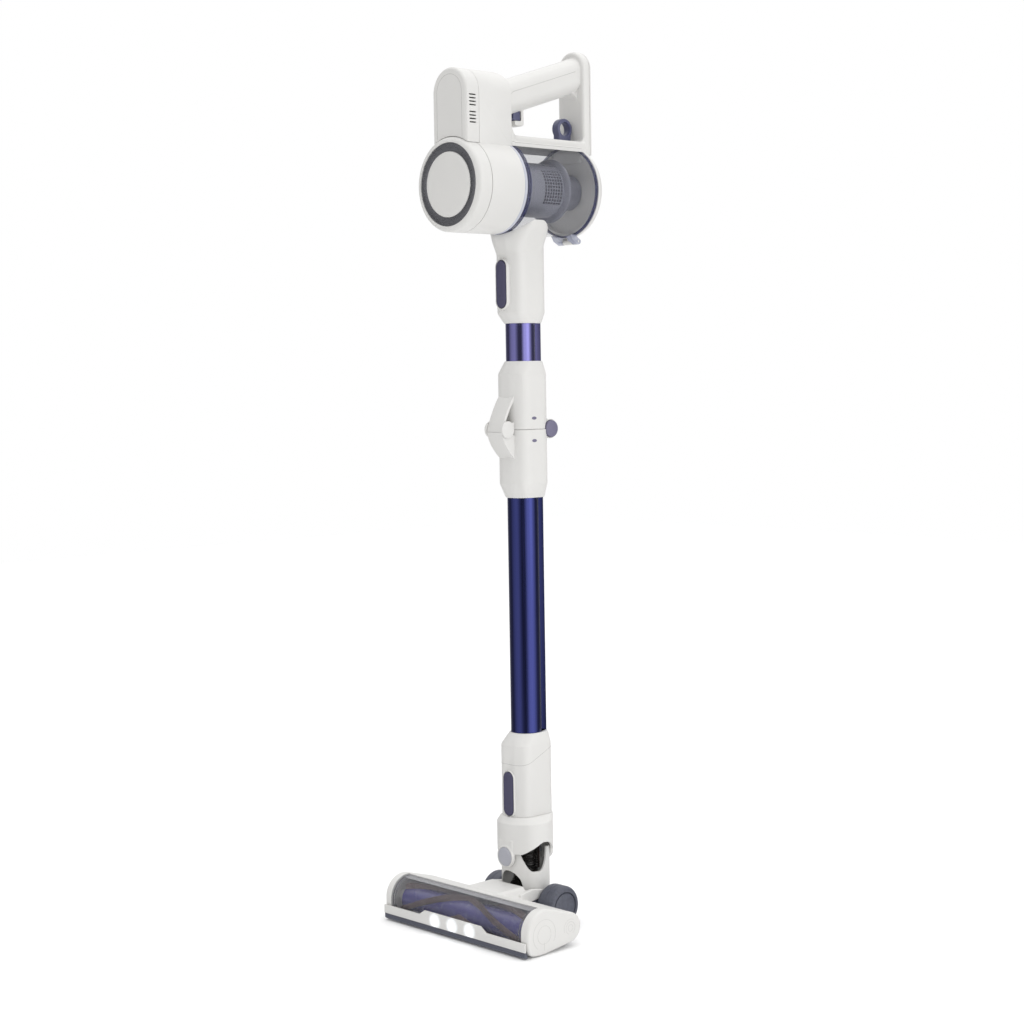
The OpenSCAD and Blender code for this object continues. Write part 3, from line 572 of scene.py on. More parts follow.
def battery_cover():
    """Front shell of the battery block: rounded round its face, vented low on both sides."""
    c = Span("battery_cover")
    low = 955.0
    shell = slab("battery_shell", tombstone(c.x1, low, c.z1, 48), c.y0, c.y1, along_y, 3.8, 0.3, 8)
    vents = [slab("vent", round_box(-107, -96, z, z + 1.7, 0.8, 4), -40, 40, along_x)
             for z in (group + 4.1 * i for group in (993.5, 1014.0) for i in range(4))]
    carve(shell, slab("inside", tombstone(c.x1 - 2.5, low - 10, c.z1 - 2.5, 48), c.y0 + 2.5, c.y1 + 5),
          slab("motor_room", circle(*MOTOR_AXIS, MOTOR_R + 0.6, 160), c.y0 - 5, c.y1 + 5),
          join("vents", *vents))
    place(shell, "main_unit", "white_plastic", "battery_cover", angle=30)
    hw, foot = 22.3, 977                                  # parting line round the battery's face
    crown = c.z1 - 8.3 - hw
    line = [(hw, foot + 2 * i) for i in range(int((crown - foot) / 2) + 1)]
    line += arc(0, crown, hw, 0, 180, 40) + [(-u, v) for u, v in reversed(line)]
    seam("cover_line", "main_unit", shell, [(u, c.y0 - 1, v) for u, v in line])


GRIP_TAN = math.tan(math.radians(17.4))                    # the grip climbs towards the rear
GRIP_COS = math.cos(math.radians(17.4))


def grip_top(y):
    return 1059.4 + (y + 7.2) * GRIP_TAN


def handle():
    """Grip, rear plate and rail fused with fillets, as one moulding."""
    hw, tall, corner = 18.0, 42.5 / GRIP_COS, 15.5
    y0, y1 = HANDLE.y0 + 0.2, PLATE.y0 - 2                # ends of the grip
    front, rear = PLATE.y0 - 11.6, PLATE.y0 - 0.05        # faces of the rear plate
    grip = loft("grip", [[(u, y, v) for u, v in round_box(-hw, hw, grip_top(y) - tall, grip_top(y), corner, 12)]
                         for y in (y0 + (y1 - y0) * i / 8 for i in range(9))])
    plate = slab("plate", tombstone(23, HANDLE.z0 + 1.5, HANDLE.z1), front, rear, along_y, 4.0, 0.0, 6)
    tops = [(0, 998, 30.3), (1.5, 993.5, 30.2), (3, 991, 29.9), (5, 988.7, 29.2), (8, 986.5, 27.8), (12, 985.2, 26.2),
            (18, 985, 24.8), (30, 985, 24), (80, 985, 24), (front + 2 - y0, 985, 24)]
    rail = loft("rail", [[(u, y0 + d, v) for u, v in round_box(-w, w, 958, top, 3.5)] for d, top, w in tops])
    ledge = slab("ledge", round_box(-30.4, 30.4, 950, 976, 1.5, 4), y0, CUP_END, along_y, 0.0, 1.5, 3)
    low = [(front + 2, 983), (front + 2, 990)] + arc(front - 5, 990, 5, 0, -90, 6)
    under = grip_top(front) - tall
    high = [(front + 2, under + 8), (front + 2, under - 13)] + arc(front - 12, under - 13, 12, 0, 74, 8)
    hook = ([(-11.5, 1005.2), (-11.5, 1002)] + arc(-8.5, 1002, 3, 180, 270, 5)[1:] + arc(1, 1002, 3, 270, 360, 5)
            + [(4, 1022), (-0.5, 1022), (-0.5, 1005.2)])
    body = soften(join("handle_body", grip, plate, rail, ledge, slab("low_fillet", low, -22, 22, along_x),
                       slab("high_fillet", high, -12, 12, along_x), slab("hook", hook, -8.5, 8.5, along_x)), 0.8, 5)
    carve(body, slab("cup_room", circle(*MOTOR_AXIS, MOTOR_R + 0.35, 160), -60, CUP_END + 1.2),
          slab("trigger_room", rect(-16, 3.1, 1005.1, 1024), -7.4, 7.4, along_x),
          slab("loop_room", round_box(-6, 6, 66.7, 87.7, 2), 978, 990, along_z), socket_hole(),
          slab("cover_room", rect(-40, 40, 940, 1110), PLATE.y0 - 0.02, PLATE.y0 + 5))
    place(body, "main_unit", "white_plastic", "handle_frame", angle=40)
    rear_cover()
    # parting line of the grip's top panel, curved down where it starts near the block
    for side in (1, -1):
        run = [(side * (hw + 2), y, grip_top(y) - corner / GRIP_COS - max(0.0, (-22 - y) / 8) ** 2 * 7)
               for y in (-30 + 116 * i / 33 for i in range(34))]
        seam(f"grip_line_{side + 1}", "main_unit", body, run)
    for side in (1, -1):
        run = [(side * 32, y0 + 1 + i * (CUP_END - y0 - 2) / 30, 976.2) for i in range(31)]
        seam(f"ledge_line_{side + 1}", "main_unit", body, run, lift=0.0)


def socket_hole():
    return slab("socket", circle(0, SOCKET_Z, 2.75, 32), PLATE.y1 - 8, PLATE.y1 + 1)


def rear_cover():
    outline = tombstone(22.9, HANDLE.z0 + 1.5, HANDLE.z1 - 0.1)
    back = slab("plate_back", outline, PLATE.y0, PLATE.y1, along_y, 0.0, 3.0, 6)
    place(carve(back, socket_hole()), "main_unit", "white_plastic", "rear_cover")


def dust_cup():
    r, wall = MOTOR_R, 2.0
    y0, y1 = CUP.y0, CUP_END
    shell = lathe("cup_shell", [(r - wall, y0 + 0.2), (r, y0 + 0.2), (r, y1 - 0.6), (r - 0.5, y1),
                                (r - wall, y1)], MOTOR_AXIS, 192)
    outline = [(74, 868), (78, 861)] + arc(*HINGE, 4, 225, 385, 10) + [(85, 866), (84, 872)]
    lug = join("lugs", *(side_slab("lug", outline, side, 8, 18, 0.5, 0.5, 2) for side in (-1, 1)))
    carve(lug, slab("inside", circle(*MOTOR_AXIS, r - 0.2, 96), y0 - 1, 100),
          slab("pin_hole", circle(*HINGE, 1.6, 24), -30, 30, along_x))
    carve(shell, slab("inlet", circle(0, 0, 16, 48), 840, 880, along_z))
    place(shell, "main_unit", "clear_smoke", "dust_cup", angle=30)
    place(lug, "main_unit", "clear_smoke", look=clear("clear_lug", (0.45, 0.47, 0.58), 0.6))
    blue = clear("rim_tint", (0.06, 0.065, 0.17), 0.6, 0.08)
    for name, a, b in (("rim_front", y0 + 1.6, y0 + 3.0), ("rim_front_b", y0 + 5.0, y0 + 6.2),
                       ("rim_rear", y1 - 2.0, y1 - 0.8), ("rim_rear_b", y1 - 4.2, y1 - 3.4)):
        rim = lathe(name, rect(r - wall + 0.2, r + 0.05, a, b), MOTOR_AXIS, 160)
        place(rim, "main_unit", "clear_smoke", look=blue)
    ring = lathe("lock_ring", [(r - 6, RING.y0), (r - 0.6, RING.y0), (r, RING.y0 + 0.6), (r, RING.y1 - 0.5),
                               (r - 0.5, RING.y1), (r - 6, RING.y1)], MOTOR_AXIS, 160)
    place(ring, "main_unit", "pivot_cap", "cup_ring", look=MATERIALS["ring_plastic"])


def cyclone():
    """Perforated cylinder, skirt and end tube inside the cup."""
    y0, y1 = CYCLONE.y0, LID.y1 - 3.6
    r, around, step = 33.0, 100, 2.25
    holes = (13.0, 48.0)
    start = y0 + 3

    def corner(i, k):
        a = 2 * math.pi * (k + (0.7 if k % 2 else 0.3)) / around
        return r * math.cos(a), start + step * (i + (0.2 if i % 2 else -0.2)), MOTOR_Z + r * math.sin(a)

    def hole(i, k):
        side = min(k, around - k, abs(k - around // 2)) <= 11
        return side and holes[0] < start + step * (i + 0.5) < holes[1] and i % 2 == 0 and k % 2 == 0

    wall = sheet("cyclone_wall", round((48.5 - start) / step), around, corner, hole, 1.2, 0)
    profile = [(30.8, 46.5), (33, 47.5), (36, 49.2), (39.2, 50.8), (40, 52), (40, 53.6), (38.5, 54.2), (26, 55.6),
               (23.4, 56.5), (22.5, 58), (22.5, y1 - 1.2), (21.8, y1), (20.5, y1), (20.5, 57), (30.8, 51)]
    skirt = lathe("cyclone_skirt", profile, MOTOR_AXIS, 128)
    flange = lathe("cyclone_flange", [(30.8, y0), (MOTOR_R - 3, y0), (MOTOR_R - 3, y0 + 2.4),
                                      (MOTOR_R - 3.6, y0 + 3), (34.5, y0 + 3), (33.2, y0 + 4.4), (30.8, y0 + 4.4)],
                   MOTOR_AXIS, 128)
    place(join("cyclone_body", wall, skirt, flange), "main_unit", "slate_plastic", "cyclone", angle=30,
          look=moulded("cyclone_grey", (0.27, 0.275, 0.325), 0.3, 0.03))
    place(lathe("cyclone_lining", rect(28.4, 29.6, 2, 50), MOTOR_AXIS, 64), "main_unit", "black_plastic")


def cup_lid():
    r = MOTOR_R + 0.6
    y0, y1 = CUP_END + 0.4, LID.y1
    profile = [(r - 5, y0), (r - 0.4, y0), (r, y0 + 0.4), (r, y0 + 3.6), (r - 0.5, y0 + 4.4), (r - 2.2, y1 - 1.4),
               (r - 4.5, y1), (30, y1), (0.001, y1 - 0.6), (0.001, y1 - 3), (r - 5, y1 - 3)]
    lid = carve(lathe("lid_shell", profile, MOTOR_AXIS, 160), slab("notch", rect(-25, 25, 966, 990), 70, 100))
    plug = lathe("lid_plug", [(r - 5.6, LID.y0 + 0.2), (r - 3.8, LID.y0 + 0.2), (r - 3.6, y0 + 0.6),
                              (r - 5.6, y0 + 0.6)], MOTOR_AXIS, 128)
    carve(plug, slab("notch", rect(-25, 25, 966, 990), 70, 100))
    knuckle = slab("knuckle", [(90, 858.5), (93, 860), (93, 870), (88, 868)] + arc(*HINGE, 4, 120, 330, 14),
                   -7.6, 7.6, along_x, 0.5, 0.5, 2)
    pin = slab("lid_pin", circle(*HINGE, 1.5, 24), -17.4, 17.4, along_x, 0.3, 0.3, 2)
    place(join("lid_body", lid, plug, knuckle, pin), "lid", "white_plastic", "cup_lid")


def elbow():
    """Socket for the upper tube that flares into a saddle under the cup."""
    low = [(ELBOW.z0, 19.5, -19.5, 28.5, 18.6), (ELBOW.z0 + 1.2, 19.9, -20.3, 28.9, 18.6),
           (767.5, 21.8, -27.4, 31.6, 18.0), (769.5, 22.0, -28.0, 32.0, 18.0), (800, 22.0, -28.0, 32.0, 18.0),
           (830, 22.0, -28.0, 32.0, 18.0)]
    rings = boxes(low)
    crease = 845.5
    # each flare ring: share of the flare, half width, front, rear, corner radius, rise above the crease
    for t, hw, a, b, r, rise in ((0.0, 22.0, -28.0, 32.0, 18.0, -0.8), (0.0, 22.1, -28.1, 31.9, 18.0, 0.6),
                                 (0.15, 24.2, -29.6, 31.8, 19.0, 6), (0.4, 28.0, -32.0, 32.6, 20.5, 14),
                                 (0.75, 34.5, -34.6, 31.4, 25.0, 25), (1.0, 40.5, -36.4, 30.4, 29.0, 36),
                                 (1.0, 43.0, -36.6, 30.4, 30.0, 48)):
        rings.append([(u * (1.0 - 0.36 * t * max(0.0, min(1.0, (-12 - v) / 24)) ** 1.3), v,
                       crease + rise + 0.2 * v * (1 - t)) for u, v in round_box(-hw, hw, a, b, r, 14)])
    body = loft("elbow_body", rings)
    crown = [(-44, 889), (-10, 889), (16, 889.5), (24, 887), (29, 882), (32, 875), (44, 879), (44, 910), (-44, 910)]
    carve(body, slab("room", circle(*MOTOR_AXIS, MOTOR_R + 0.12, 160), -80, 80),
          slab("crown", crown, -50, 50, along_x), slab("socket", tube_outline(UPPER_R, 0.3), 740, 791, along_z),
          slab("bore", circle(0, 0, 16.5, 48), 780, 900, along_z), slab("well", obround(8.8, 774.6, 833.9), -40, -24))
    round_edges(body, 0.5, 2, 40)
    lip = bezel_ring("lip", 775, 833.5, -29.4, -31.6)
    place(join("elbow_shell", body, lip), "main_unit", "white_plastic", "elbow_duct", angle=28)


def bezel_ring(name, z0, z1, y_back, y_front):
    """Raised lip round a release button."""
    outer, inner = obround(10.8, z0 - 2.4, z1 + 2.4, 24), obround(8.8, z0 - 0.4, z1 + 0.4, 24)
    mid_o, mid_i = obround(10.3, z0 - 1.9, z1 + 1.9, 24), obround(9.3, z0 - 0.9, z1 + 0.9, 24)
    rings = [[(u, y_back + 3, v) for u, v in outer], [(u, y_back, v) for u, v in outer],
             [(u, y_front + 0.3, v) for u, v in mid_o], [(u, y_front, v) for u, v in inset(mid_o, 0.4)],
             [(u, y_front + 0.3, v) for u, v in mid_i], [(u, y_back + 3, v) for u, v in inner]]
    return loft(name, rings, closed=True)


def release_button(name, node, body):
    b = Span(node)
    outline = obround(8.5, b.z0, b.z1, 24)
    pad = slab(name, outline, b.y0, b.y1, along_y, 1.3, 0.0, 5)
    dots = []
    for row in range(3):
        for col in range(2 + row % 2):
            x = (col - (1 + row % 2) / 2) * 2.6
            z = b.z0 + 12 + 2.6 * row
            dots.append(lathe("dot", [(0.001, b.y0 - 0.28), (0.35, b.y0 - 0.2), (0.6, b.y0 + 0.1),
                                      (0.001, b.y0 + 0.1)], (x, z), 12))
    place(join(name + "_pad", pad, *dots), body, "plum_button", node)


def trigger_and_loop():
    t = Span("trigger")
    round_z = t.z0 + 3
    curve = [(t.y0 + 0.9 * math.sin(math.pi * i / 8), t.z1 - (t.z1 - round_z) * i / 8) for i in range(8)]
    curve += arc(t.y0 + 3, round_z, 3, 180, 270, 6) + [(t.y1, t.z0), (t.y1, t.z1)]
    key = slab("trigger_key", curve, t.x0, t.x1, along_x, 0.8, 0.8, 3)
    carve(key, slab("spring_room", circle(0, 1011, 2.8, 32), -6, t.y1 + 1))
    place(key, "trigger_body", "slate_blue", "trigger")
    loop = Span("release_loop")
    cz, cy = loop.z1 - 13, loop.y
    outer = arc(cy, cz, 13, -36, 216, 48) + [(cy - 10.6, 987), (cy - 6, 985), (cy + 6, 985), (cy + 10.6, 987)]
    ring = slab("loop_ring", outer, -5.5, 5.5, along_x, 1.6, 1.6, 4)
    hole = lathe("loop_hole", [(0.001, -6.5), (9.6, -6.5), (8.4, -4), (8.2, -2), (8.2, 2), (8.4, 4), (9.6, 6.5),
                               (0.001, 6.5)], (cy, cz), 48, along_x)
    carve(ring, hole)
    foot = slab("loop_foot", round_box(-5.5, 5.5, cy - 4, cy + 4, 1.5, 4), 980, 987, along_z)
    pin = slab("loop_pin", circle(cy, 983, 1.5, 24), -11.4, 11.4, along_x, 0.3, 0.3, 2)
    place(join("loop_body", ring, foot, pin), "loop_lever", "slate_blue", "release_loop")


# ---- wand

UPPER_R, LOWER_R = 18.4, 19.4


def tubes():
    # the upper tube takes violet_pale, the copy painted lighter for its brighter reflections
    for node, body, r, look in (("upper_tube", "upper_wand", UPPER_R, "violet_pale"),
                                ("lower_tube", "lower_wand", LOWER_R, "violet_tube")):
        t = Span(node)
        wall = slab(node + "_wall", tube_outline(r), t.z0, t.z1, along_z, 0.3, 0.3, 2)
        carve(wall, slab("bore", circle(0, 0, r - 1.6, 64), t.z0 - 1, t.z1 + 1, along_z))
        place(wall, body, "violet_tube", node, angle=25, look=MATERIALS[look])


SPLIT = 624.0                                             # where the wand's halves meet
PIN = (Span("fold_hinge_pin").y, Span("fold_hinge_pin").z)
LATCH = (Span("fold_button_right").y, SPLIT)
FULL, RIM = (24.5, -27.5, 31.5, 20.0), (24.0, -27.0, 31.0, 19.6)
FOLD_CAP = moulded("fold_cap", (0.155, 0.145, 0.225), 0.38, 0.03)


def fold_upper():
    """Upper housing with the strap that arches over to the hinge."""
    body = loft("upper", boxes([(SPLIT + 0.2, *RIM), (SPLIT + 0.7, *FULL), (692.6, *FULL),
                                (693.0, 24.2, -27.2, 31.2, 19.8), (693.6, 24.2, -27.2, 31.2, 19.8),
                                (694.2, 24.3, -26.9, 31.3, 19.8), (707.6, 20.2, -20.2, 29.4, 18.8),
                                (709, 19.4, -19.3, 29.0, 18.8)]))
    carve(body, slab("latch_room", circle(*LATCH, 12.7, 64), -30, 30, along_x),
          slab("tube_room", tube_outline(UPPER_R, 0.05), 652, 720, along_z),
          slab("duct", circle(0, 0, 16.5, 48), 610, 660, along_z))
    strap = [(-25, 666.5), (-27.5, 664), (-30.4, 659.8), (-33.2, 655), (-36, 650), (-38.5, 645), (-40.7, 640.4),
             (-42.6, 636), (-44.2, 632), (-45.5, 628), (-46.5, 624.6), (-47, 621.8), (-43.6, 621.8), (-42.4, 626),
             (-40.6, 631), (-38.4, 636.5), (-35.8, 642), (-32.8, 648), (-29.6, 653.6), (-25, 660)]
    arch = slab("arch", strap, -13.5, 13.5, along_x, 0.6, 0.6, 3)
    web = [(-41, 624.8), (-26, 624.8), (-26, 633), (-30, 633)]
    ears = [side_slab("ear", shape, side, 7.2, 13.5) for side in (-1, 1) for shape in (circle(*PIN, 6.4, 48), web)]
    place(join("fold_upper_shell", round_edges(body, 0.4, 2, 40), arch, *ears), "upper_wand", "white_plastic",
          "fold_upper_housing", angle=30)


def fold_lower():
    """Lower housing with the hinge's middle knuckle and the latch barrel."""
    body = loft("lower", boxes([(538.5, 20.5, -20.4, 29.0, 19.8), (540, 21.1, -21.4, 29.4, 19.8),
                                (555.5, 24.4, -27.3, 31.4, 20.0), (557.5, *FULL), (SPLIT - 0.7, *FULL),
                                (SPLIT - 0.2, *RIM)]))
    carve(body, slab("tube_room", tube_outline(LOWER_R, 0.05), 530, 600.2, along_z),
          slab("duct", circle(0, 0, 17, 48), 590, 640, along_z))
    gusset = [(-24, 617), (-26, 617), (-34, 621.5), (-47, 621.5), (-46, 616.6), (-44.5, 612.2), (-42.2, 607.6),
              (-39.5, 603.2), (-36.4, 599.2), (-33, 595.2), (-30, 592), (-27, 589), (-24, 586)]
    gusset = slab("gusset", gusset, -13.5, 13.5, along_x, 0.5, 0.5, 3)
    carve(gusset, *(side_slab("ear_room", circle(*PIN, 6.9, 48), side, 6.9, 20) for side in (1, -1)))
    knuckle = slab("knuckle", circle(*PIN, 6.4, 48), -6.6, 6.6, along_x)
    web = slab("web", [(-42, 612), (-24, 606), (-24, 623), (-38, 623)], -6.6, 6.6, along_x)
    barrel = lathe("barrel", [(10.9, 9), (10.9, 20), (11.3, 20.4), (12.0, 20.4), (12.2, 19.6), (12.2, -19.6),
                              (12.0, -20.4), (11.3, -20.4), (10.9, -20), (10.9, -9), (6, -9), (6, 9)],
                   LATCH, 96, along_x)
    place(join("fold_lower_shell", round_edges(body, 0.4, 2, 40), gusset, knuckle, web, barrel), "lower_wand",
          "white_plastic", "fold_lower_housing", angle=30)


def fold_details():
    """Hinge pin caps, latch buttons and the oval plugs over the screws."""
    for side, word in ((-1, "left"), (1, "right")):
        cap = side_slab(f"pin_cap_{side + 1}", circle(*PIN, 10.4, 64), side, 13.9, 16.4, 0.1, 0.8, 4)
        place(cap, "lower_wand", "white_plastic", *(("fold_hinge_pin",) if side > 0 else ()))
        node = "fold_button_" + word
        head = side_slab(node + "_cap", circle(*LATCH, 10.5, 64), side, 13.0, 23.5, 0.2, 1.1, 4)
        stem = side_slab("stem", circle(*LATCH, 5.5, 32), side, 9.0, 14.0)
        place(join(node + "_body", head, stem), word + "_fold_button", "plum_button", node, look=FOLD_CAP)
    flank, plug_y = 24.5, -1.8
    for z, body in ((638, "upper_wand"), (610, "lower_wand")):
        for side in (-1, 1):
            name = f"{z}_{side + 1}"
            rim = side_slab("plug_rim_" + name, oval(plug_y, z, 5.4, 3.0), side, flank - 0.6, flank + 0.25, 0.0,
                            0.25, 3)
            place(rim, body, "white_plastic")
            core = side_slab("plug_" + name, oval(plug_y, z, 4.1, 1.95), side, flank - 0.6, flank + 0.32)
            place(core, body, "plum_button", look=FOLD_CAP)



# ---- neck

def connector():
    full = (24.0, -31.0, 29.0, 16.5)
    levels = [(137.2, *full), (226.0, *full), (227.5, 23.9, -30.6, 28.9, 16.6), (239.8, 21.4, -21.9, 29.0, 19.6),
              (241.5, 20.6, -20.6, 28.7, 20.0)]
    body = loft("connector", boxes(levels))
    z0, z1 = Span("lower_release_button").z0, Span("lower_release_button").z1
    carve(body, slab("socket", tube_outline(LOWER_R, 0.3), 168, 250, along_z),
          slab("bore", circle(0, 0, 19, 48), 120, 175, along_z),
          slab("well", obround(8.8, z0 - 0.4, z1 + 0.4), -40, -25.5))
    round_edges(body, 0.5, 2, 40)
    lip = bezel_ring("lip", z0, z1, -31.6, -33.2)
    carve(lip, slab("trim", rect(-60, 60, 0, 137.3), -50, 50))
    shell = place(join("connector_shell", body, lip), "swivel", "white_plastic", "head_connector", angle=28)
    curve = [(u, v, 203 + 19 * (0.5 - 0.5 * math.cos(math.pi * (v + 31) / 60)))
             for u, v in round_box(-24.4, 24.4, -31.4, 29.4, 16.5, 14)]
    seam("connector_line", "swivel", shell, curve, closed=True)


def wedges(name, outer, inner, levels, n=12):
    """A pair of curved blocks round the neck's axis, each level (height, first angle, last angle)."""
    pair = []
    for side in (1, -1):
        rings = [[(side * u, v, z) for u, v in arc(0, NECK_Y, outer, a, b, n) + arc(0, NECK_Y, inner, b, a, n)]
                 for z, a, b in levels]
        pair.append(loft(name, rings))
    return pair


def swivel():
    """Shroud and fork that meet at the pivots, with the corrugated hose inside."""
    shroud = soften(copy_of("swivel_shroud", "shroud"), 0.7, 6)
    carve(shroud, *wedges("arch_cut", 42, 29, ((84, -51, 48), (88.5, -56.5, 43), (92, -48, 38), (96, -34, 31.5),
                                               (100, -21, 25), (103, -12, 17), (104.8, -3, 8))))
    place(shroud, "swivel", "white_plastic", "swivel_shroud", angle=45)
    # the rear arm is broader than the front one
    arms = (wedges("arm", 30.4, 28, [(z, -12, 66) for z in (63, 80, 97)], 16)
            + wedges("front_arm", 30.4, 28, [(z, -88, -52) for z in (80, 86, 92)]))
    fork = soften(join("fork_arms", copy_of("neck_fork", "fork"), *arms), 0.7, 6)
    carve(fork, *wedges("saddle_cut", 34, 24, ((67.8, -25, -7), (68.6, -29, -3), (71, -34.5, 3), (75.5, -41, 8.5),
                                               (80, -46, 12), (84, -50.5, 14.5), (90, -56, 17), (99, -58, 19.5))))
    place(fork, "neck", "white_plastic", "neck_fork", angle=45)
    pins = Span("swivel_pins")
    caps = []
    for side in (-1, 1):
        y = NECK_Y + side * 37.2
        caps.append(lathe("cap", [(0.001, y), (8, y - side * 0.05), (11, y - side * 0.35), (11.8, y - side * 0.9),
                                  (12, y - side * 1.6), (12, y - side * 2.6), (0.001, y - side * 2.6)],
                          (0, pins.z), 64))
        caps.append(slab("pin", circle(0, pins.z, 4, 32), *sorted((NECK_Y + side * 34.6, NECK_Y + side * 24.8)),
                         along_y))
    place(join("pivot_caps", *caps), "swivel", "pivot_cap", "swivel_pins")
    bellows()


def bellows():
    """Corrugated hose in two lengths: a lower one that runs straight a little, then bends up through a quarter turn,
    and a straight upper one.
    """
    z_bend, top = Span("hose_upper").z0, Span("hose_upper").z1
    y_start, z_start = Span("hose_lower").y0, 31.0
    bend = z_bend - z_start
    straight = 3                                          # short straight length before the bend

    def circle_at(centre, along, r, n=40):
        side = Vector((1, 0, 0))
        other = Vector(along).cross(side)
        return [Vector(centre) + (side * math.cos(2 * math.pi * k / n) + other * math.sin(2 * math.pi * k / n)) * r
                for k in range(n)]

    def hose(name, node, steps):
        rings = [circle_at(centre, along, 15.0 + 0.95 * math.sin(2 * math.pi * s / 3.3))
                 for centre, along, s in steps]
        rings += [circle_at(centre, along, 13.2) for centre, along, _ in reversed(steps)]
        return place(loft(name, rings, closed=True), None, "black_rubber", node, angle=60)

    length = straight + bend * math.pi / 2
    steps = []
    for i in range(111):
        s = length * i / 110
        if s < straight:
            steps.append(((0, y_start + s, z_start), (0, 1, 0), s))
        else:
            a = (s - straight) / bend
            centre = (0, NECK_Y - bend + bend * math.sin(a), z_bend - bend * math.cos(a))
            steps.append((centre, (0, math.cos(a), math.sin(a)), s))
    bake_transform(hose("bellows_lower", "hose_lower", steps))
    steps = [((0, NECK_Y, z_bend + 0.1 + (top - z_bend - 0.1) * i / 140), (0, 0, 1),
              length + (top - z_bend) * i / 140) for i in range(141)]
    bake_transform(hose("bellows_upper", "hose_upper", steps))
    cable = Span("neck_cable")
    turns = []
    for i in range(61):
        r = cable.x1 - 0.25 + 0.25 * math.sin(2 * math.pi * i / 3)
        turns.append([(u, v, cable.z0 + (cable.z1 - cable.z0) * i / 60) for u, v in circle(0, cable.y, r, 24)])
    sleeve = place(loft("cable_sleeve", turns), None, "black_plastic", "neck_cable", look=MATERIALS["cable_sleeve"])
    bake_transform(sleeve)


# ---- floor head

CAP_FRONT, CAP_REAR = (-101.0, 28.5), (-57.0, 25.0)      # centres of the end caps' two rounds
LAMPS = (-32.0, 0.0, 32.0)


def end_caps():
    (cy, cz), r = CAP_FRONT, 27.5

    def square(gap):
        return r * math.sqrt(max(0.0, gap / r))

    # the round front is squarer below the window's height
    outline = [(cy - square(cy - u), cz - square(cz - v)) if u < cy and v < cz else (u, v)
               for u, v in belt(CAP_FRONT, r, CAP_REAR, 18.5, 40)]
    emboss_look = moulded("emboss_shadow", (0.54, 0.535, 0.52), 0.5)
    x0, x1 = 120.0, 131.8
    for side, node in ((1, "end_cap_right"), (-1, "end_cap_left")):
        shell = slab(node + "_shell", outline, x0, x1, along_x, 0.4, 3.6, 6)
        carve(shell, slab("cavity", inset(outline, 2.5), x0 - 1, x1 - 4, along_x))
        inner = 113.4 if side > 0 else 117.1
        boss = lathe("seat", [(7.0, inner), (8.5, inner), (8.5, x1 - 3.5), (0.001, x1 - 3.5), (0.001, 119.5),
                              (7.0, 119.5)], (-100.5, 25.5), 48, along_x)
        body = join(node + "_body", shell, boss)
        low = (cy, cz - 3)
        lines = [tube("emboss", [(x1 - 0.05, u, v) for u, v in arc(*centre, r, a0, a1, 56)], 0.2, 6)
                 for centre, r, a0, a1 in ((low, 11.0, 0, 354), (low, 18.5, -35, 235), (CAP_REAR, 4.0, 0, 350),
                                           (CAP_REAR, 7.6, -60, 250), (CAP_REAR, 10.8, 60, 200))]
        lines.append(tube("emboss", [(x1 - 0.05, cy, low[1] - 9 - i * 1.5) for i in range(8)], 0.2, 6))
        emboss = join(node + "_emboss", *lines)
        if side < 0:
            mirror(body, emboss)
        place(emboss, "floor_head", "white_plastic", look=emboss_look)
        place(body, "floor_head", "white_plastic", node)


def head_cover():
    cover = soften(copy_of("head_cover", "cover"), 0.85, 9)
    place(cover, "floor_head", "white_plastic", "head_cover", angle=50)


def brush():
    r, y, z = 17.5, ROLL.y, ROLL.z
    half = 112.0
    core = lathe("roll", [(0.001, -half), (r - 0.8, -half), (r, -half + 0.8), (r, half - 0.8), (r - 0.8, half),
                          (3, half), (3, ROLL.x1), (0.001, ROLL.x1)], (y, z), 96, along_x)
    shaft = slab("shaft", circle(y, z, 3, 32), ROLL.x0, -half, along_x)
    pulley = lathe("pulley", [(3, -116.5), (9, -116.5), (9, -115.8), (8.5, -115.6), (8.5, -113.4), (9, -113.2),
                              (9, -112.5), (3, -112.5)], (y, z), 48, along_x)
    place(join("roll_body", core, shaft, pulley), "brush_roll", "violet_roll", "brush_core")
    seg, turn, hw = 40, 120.0, 2.9                        # each strip turns through 120 degrees on its way out
    strips, verts, faces = [], [], []

    def at(x, rad, a):
        return x, y + rad * math.sin(a), z + rad * math.cos(a)

    for row in range(4):
        for side in (-1, 1):
            strips.append(loft("strip", [
                [at(side * 110 * t, rad, math.radians(90 * row - turn * t) + off / r)
                 for off, rad in ((-hw, r - 0.6), (-hw, r + 1.2), (hw, r + 1.2), (hw, r - 0.6))]
                for t in (i / seg for i in range(seg + 1))]))
            for i in range(150):
                t = (i + 0.5) / 150
                for k in range(4):
                    a = math.radians(90 * row - turn * t) + (k - 1.5) * 1.35 / r + random.uniform(-0.02, 0.02)
                    x = side * 110 * t + random.uniform(-0.25, 0.25)
                    lean = random.uniform(-0.05, 0.05)
                    n = len(verts)
                    for rad, w in ((r + 1.0, 0.42), (23.2 - random.uniform(0.0, 0.7), 0.315)):
                        b = a + lean * (rad - r) / 6
                        verts += [at(x - w, rad, b), at(x + w, rad, b + 0.01), at(x, rad, b + 0.045)]
                    faces += [(n, n + 1, n + 4, n + 3), (n + 1, n + 2, n + 5, n + 4), (n + 2, n, n + 3, n + 5),
                              (n + 3, n + 4, n + 5), (n, n + 2, n + 1)]
    hair = mesh_object("hair", verts, faces)
    place(join("bristles", hair, *strips), "brush_roll", "bristle_fibre", "bristle_strips", angle=30)


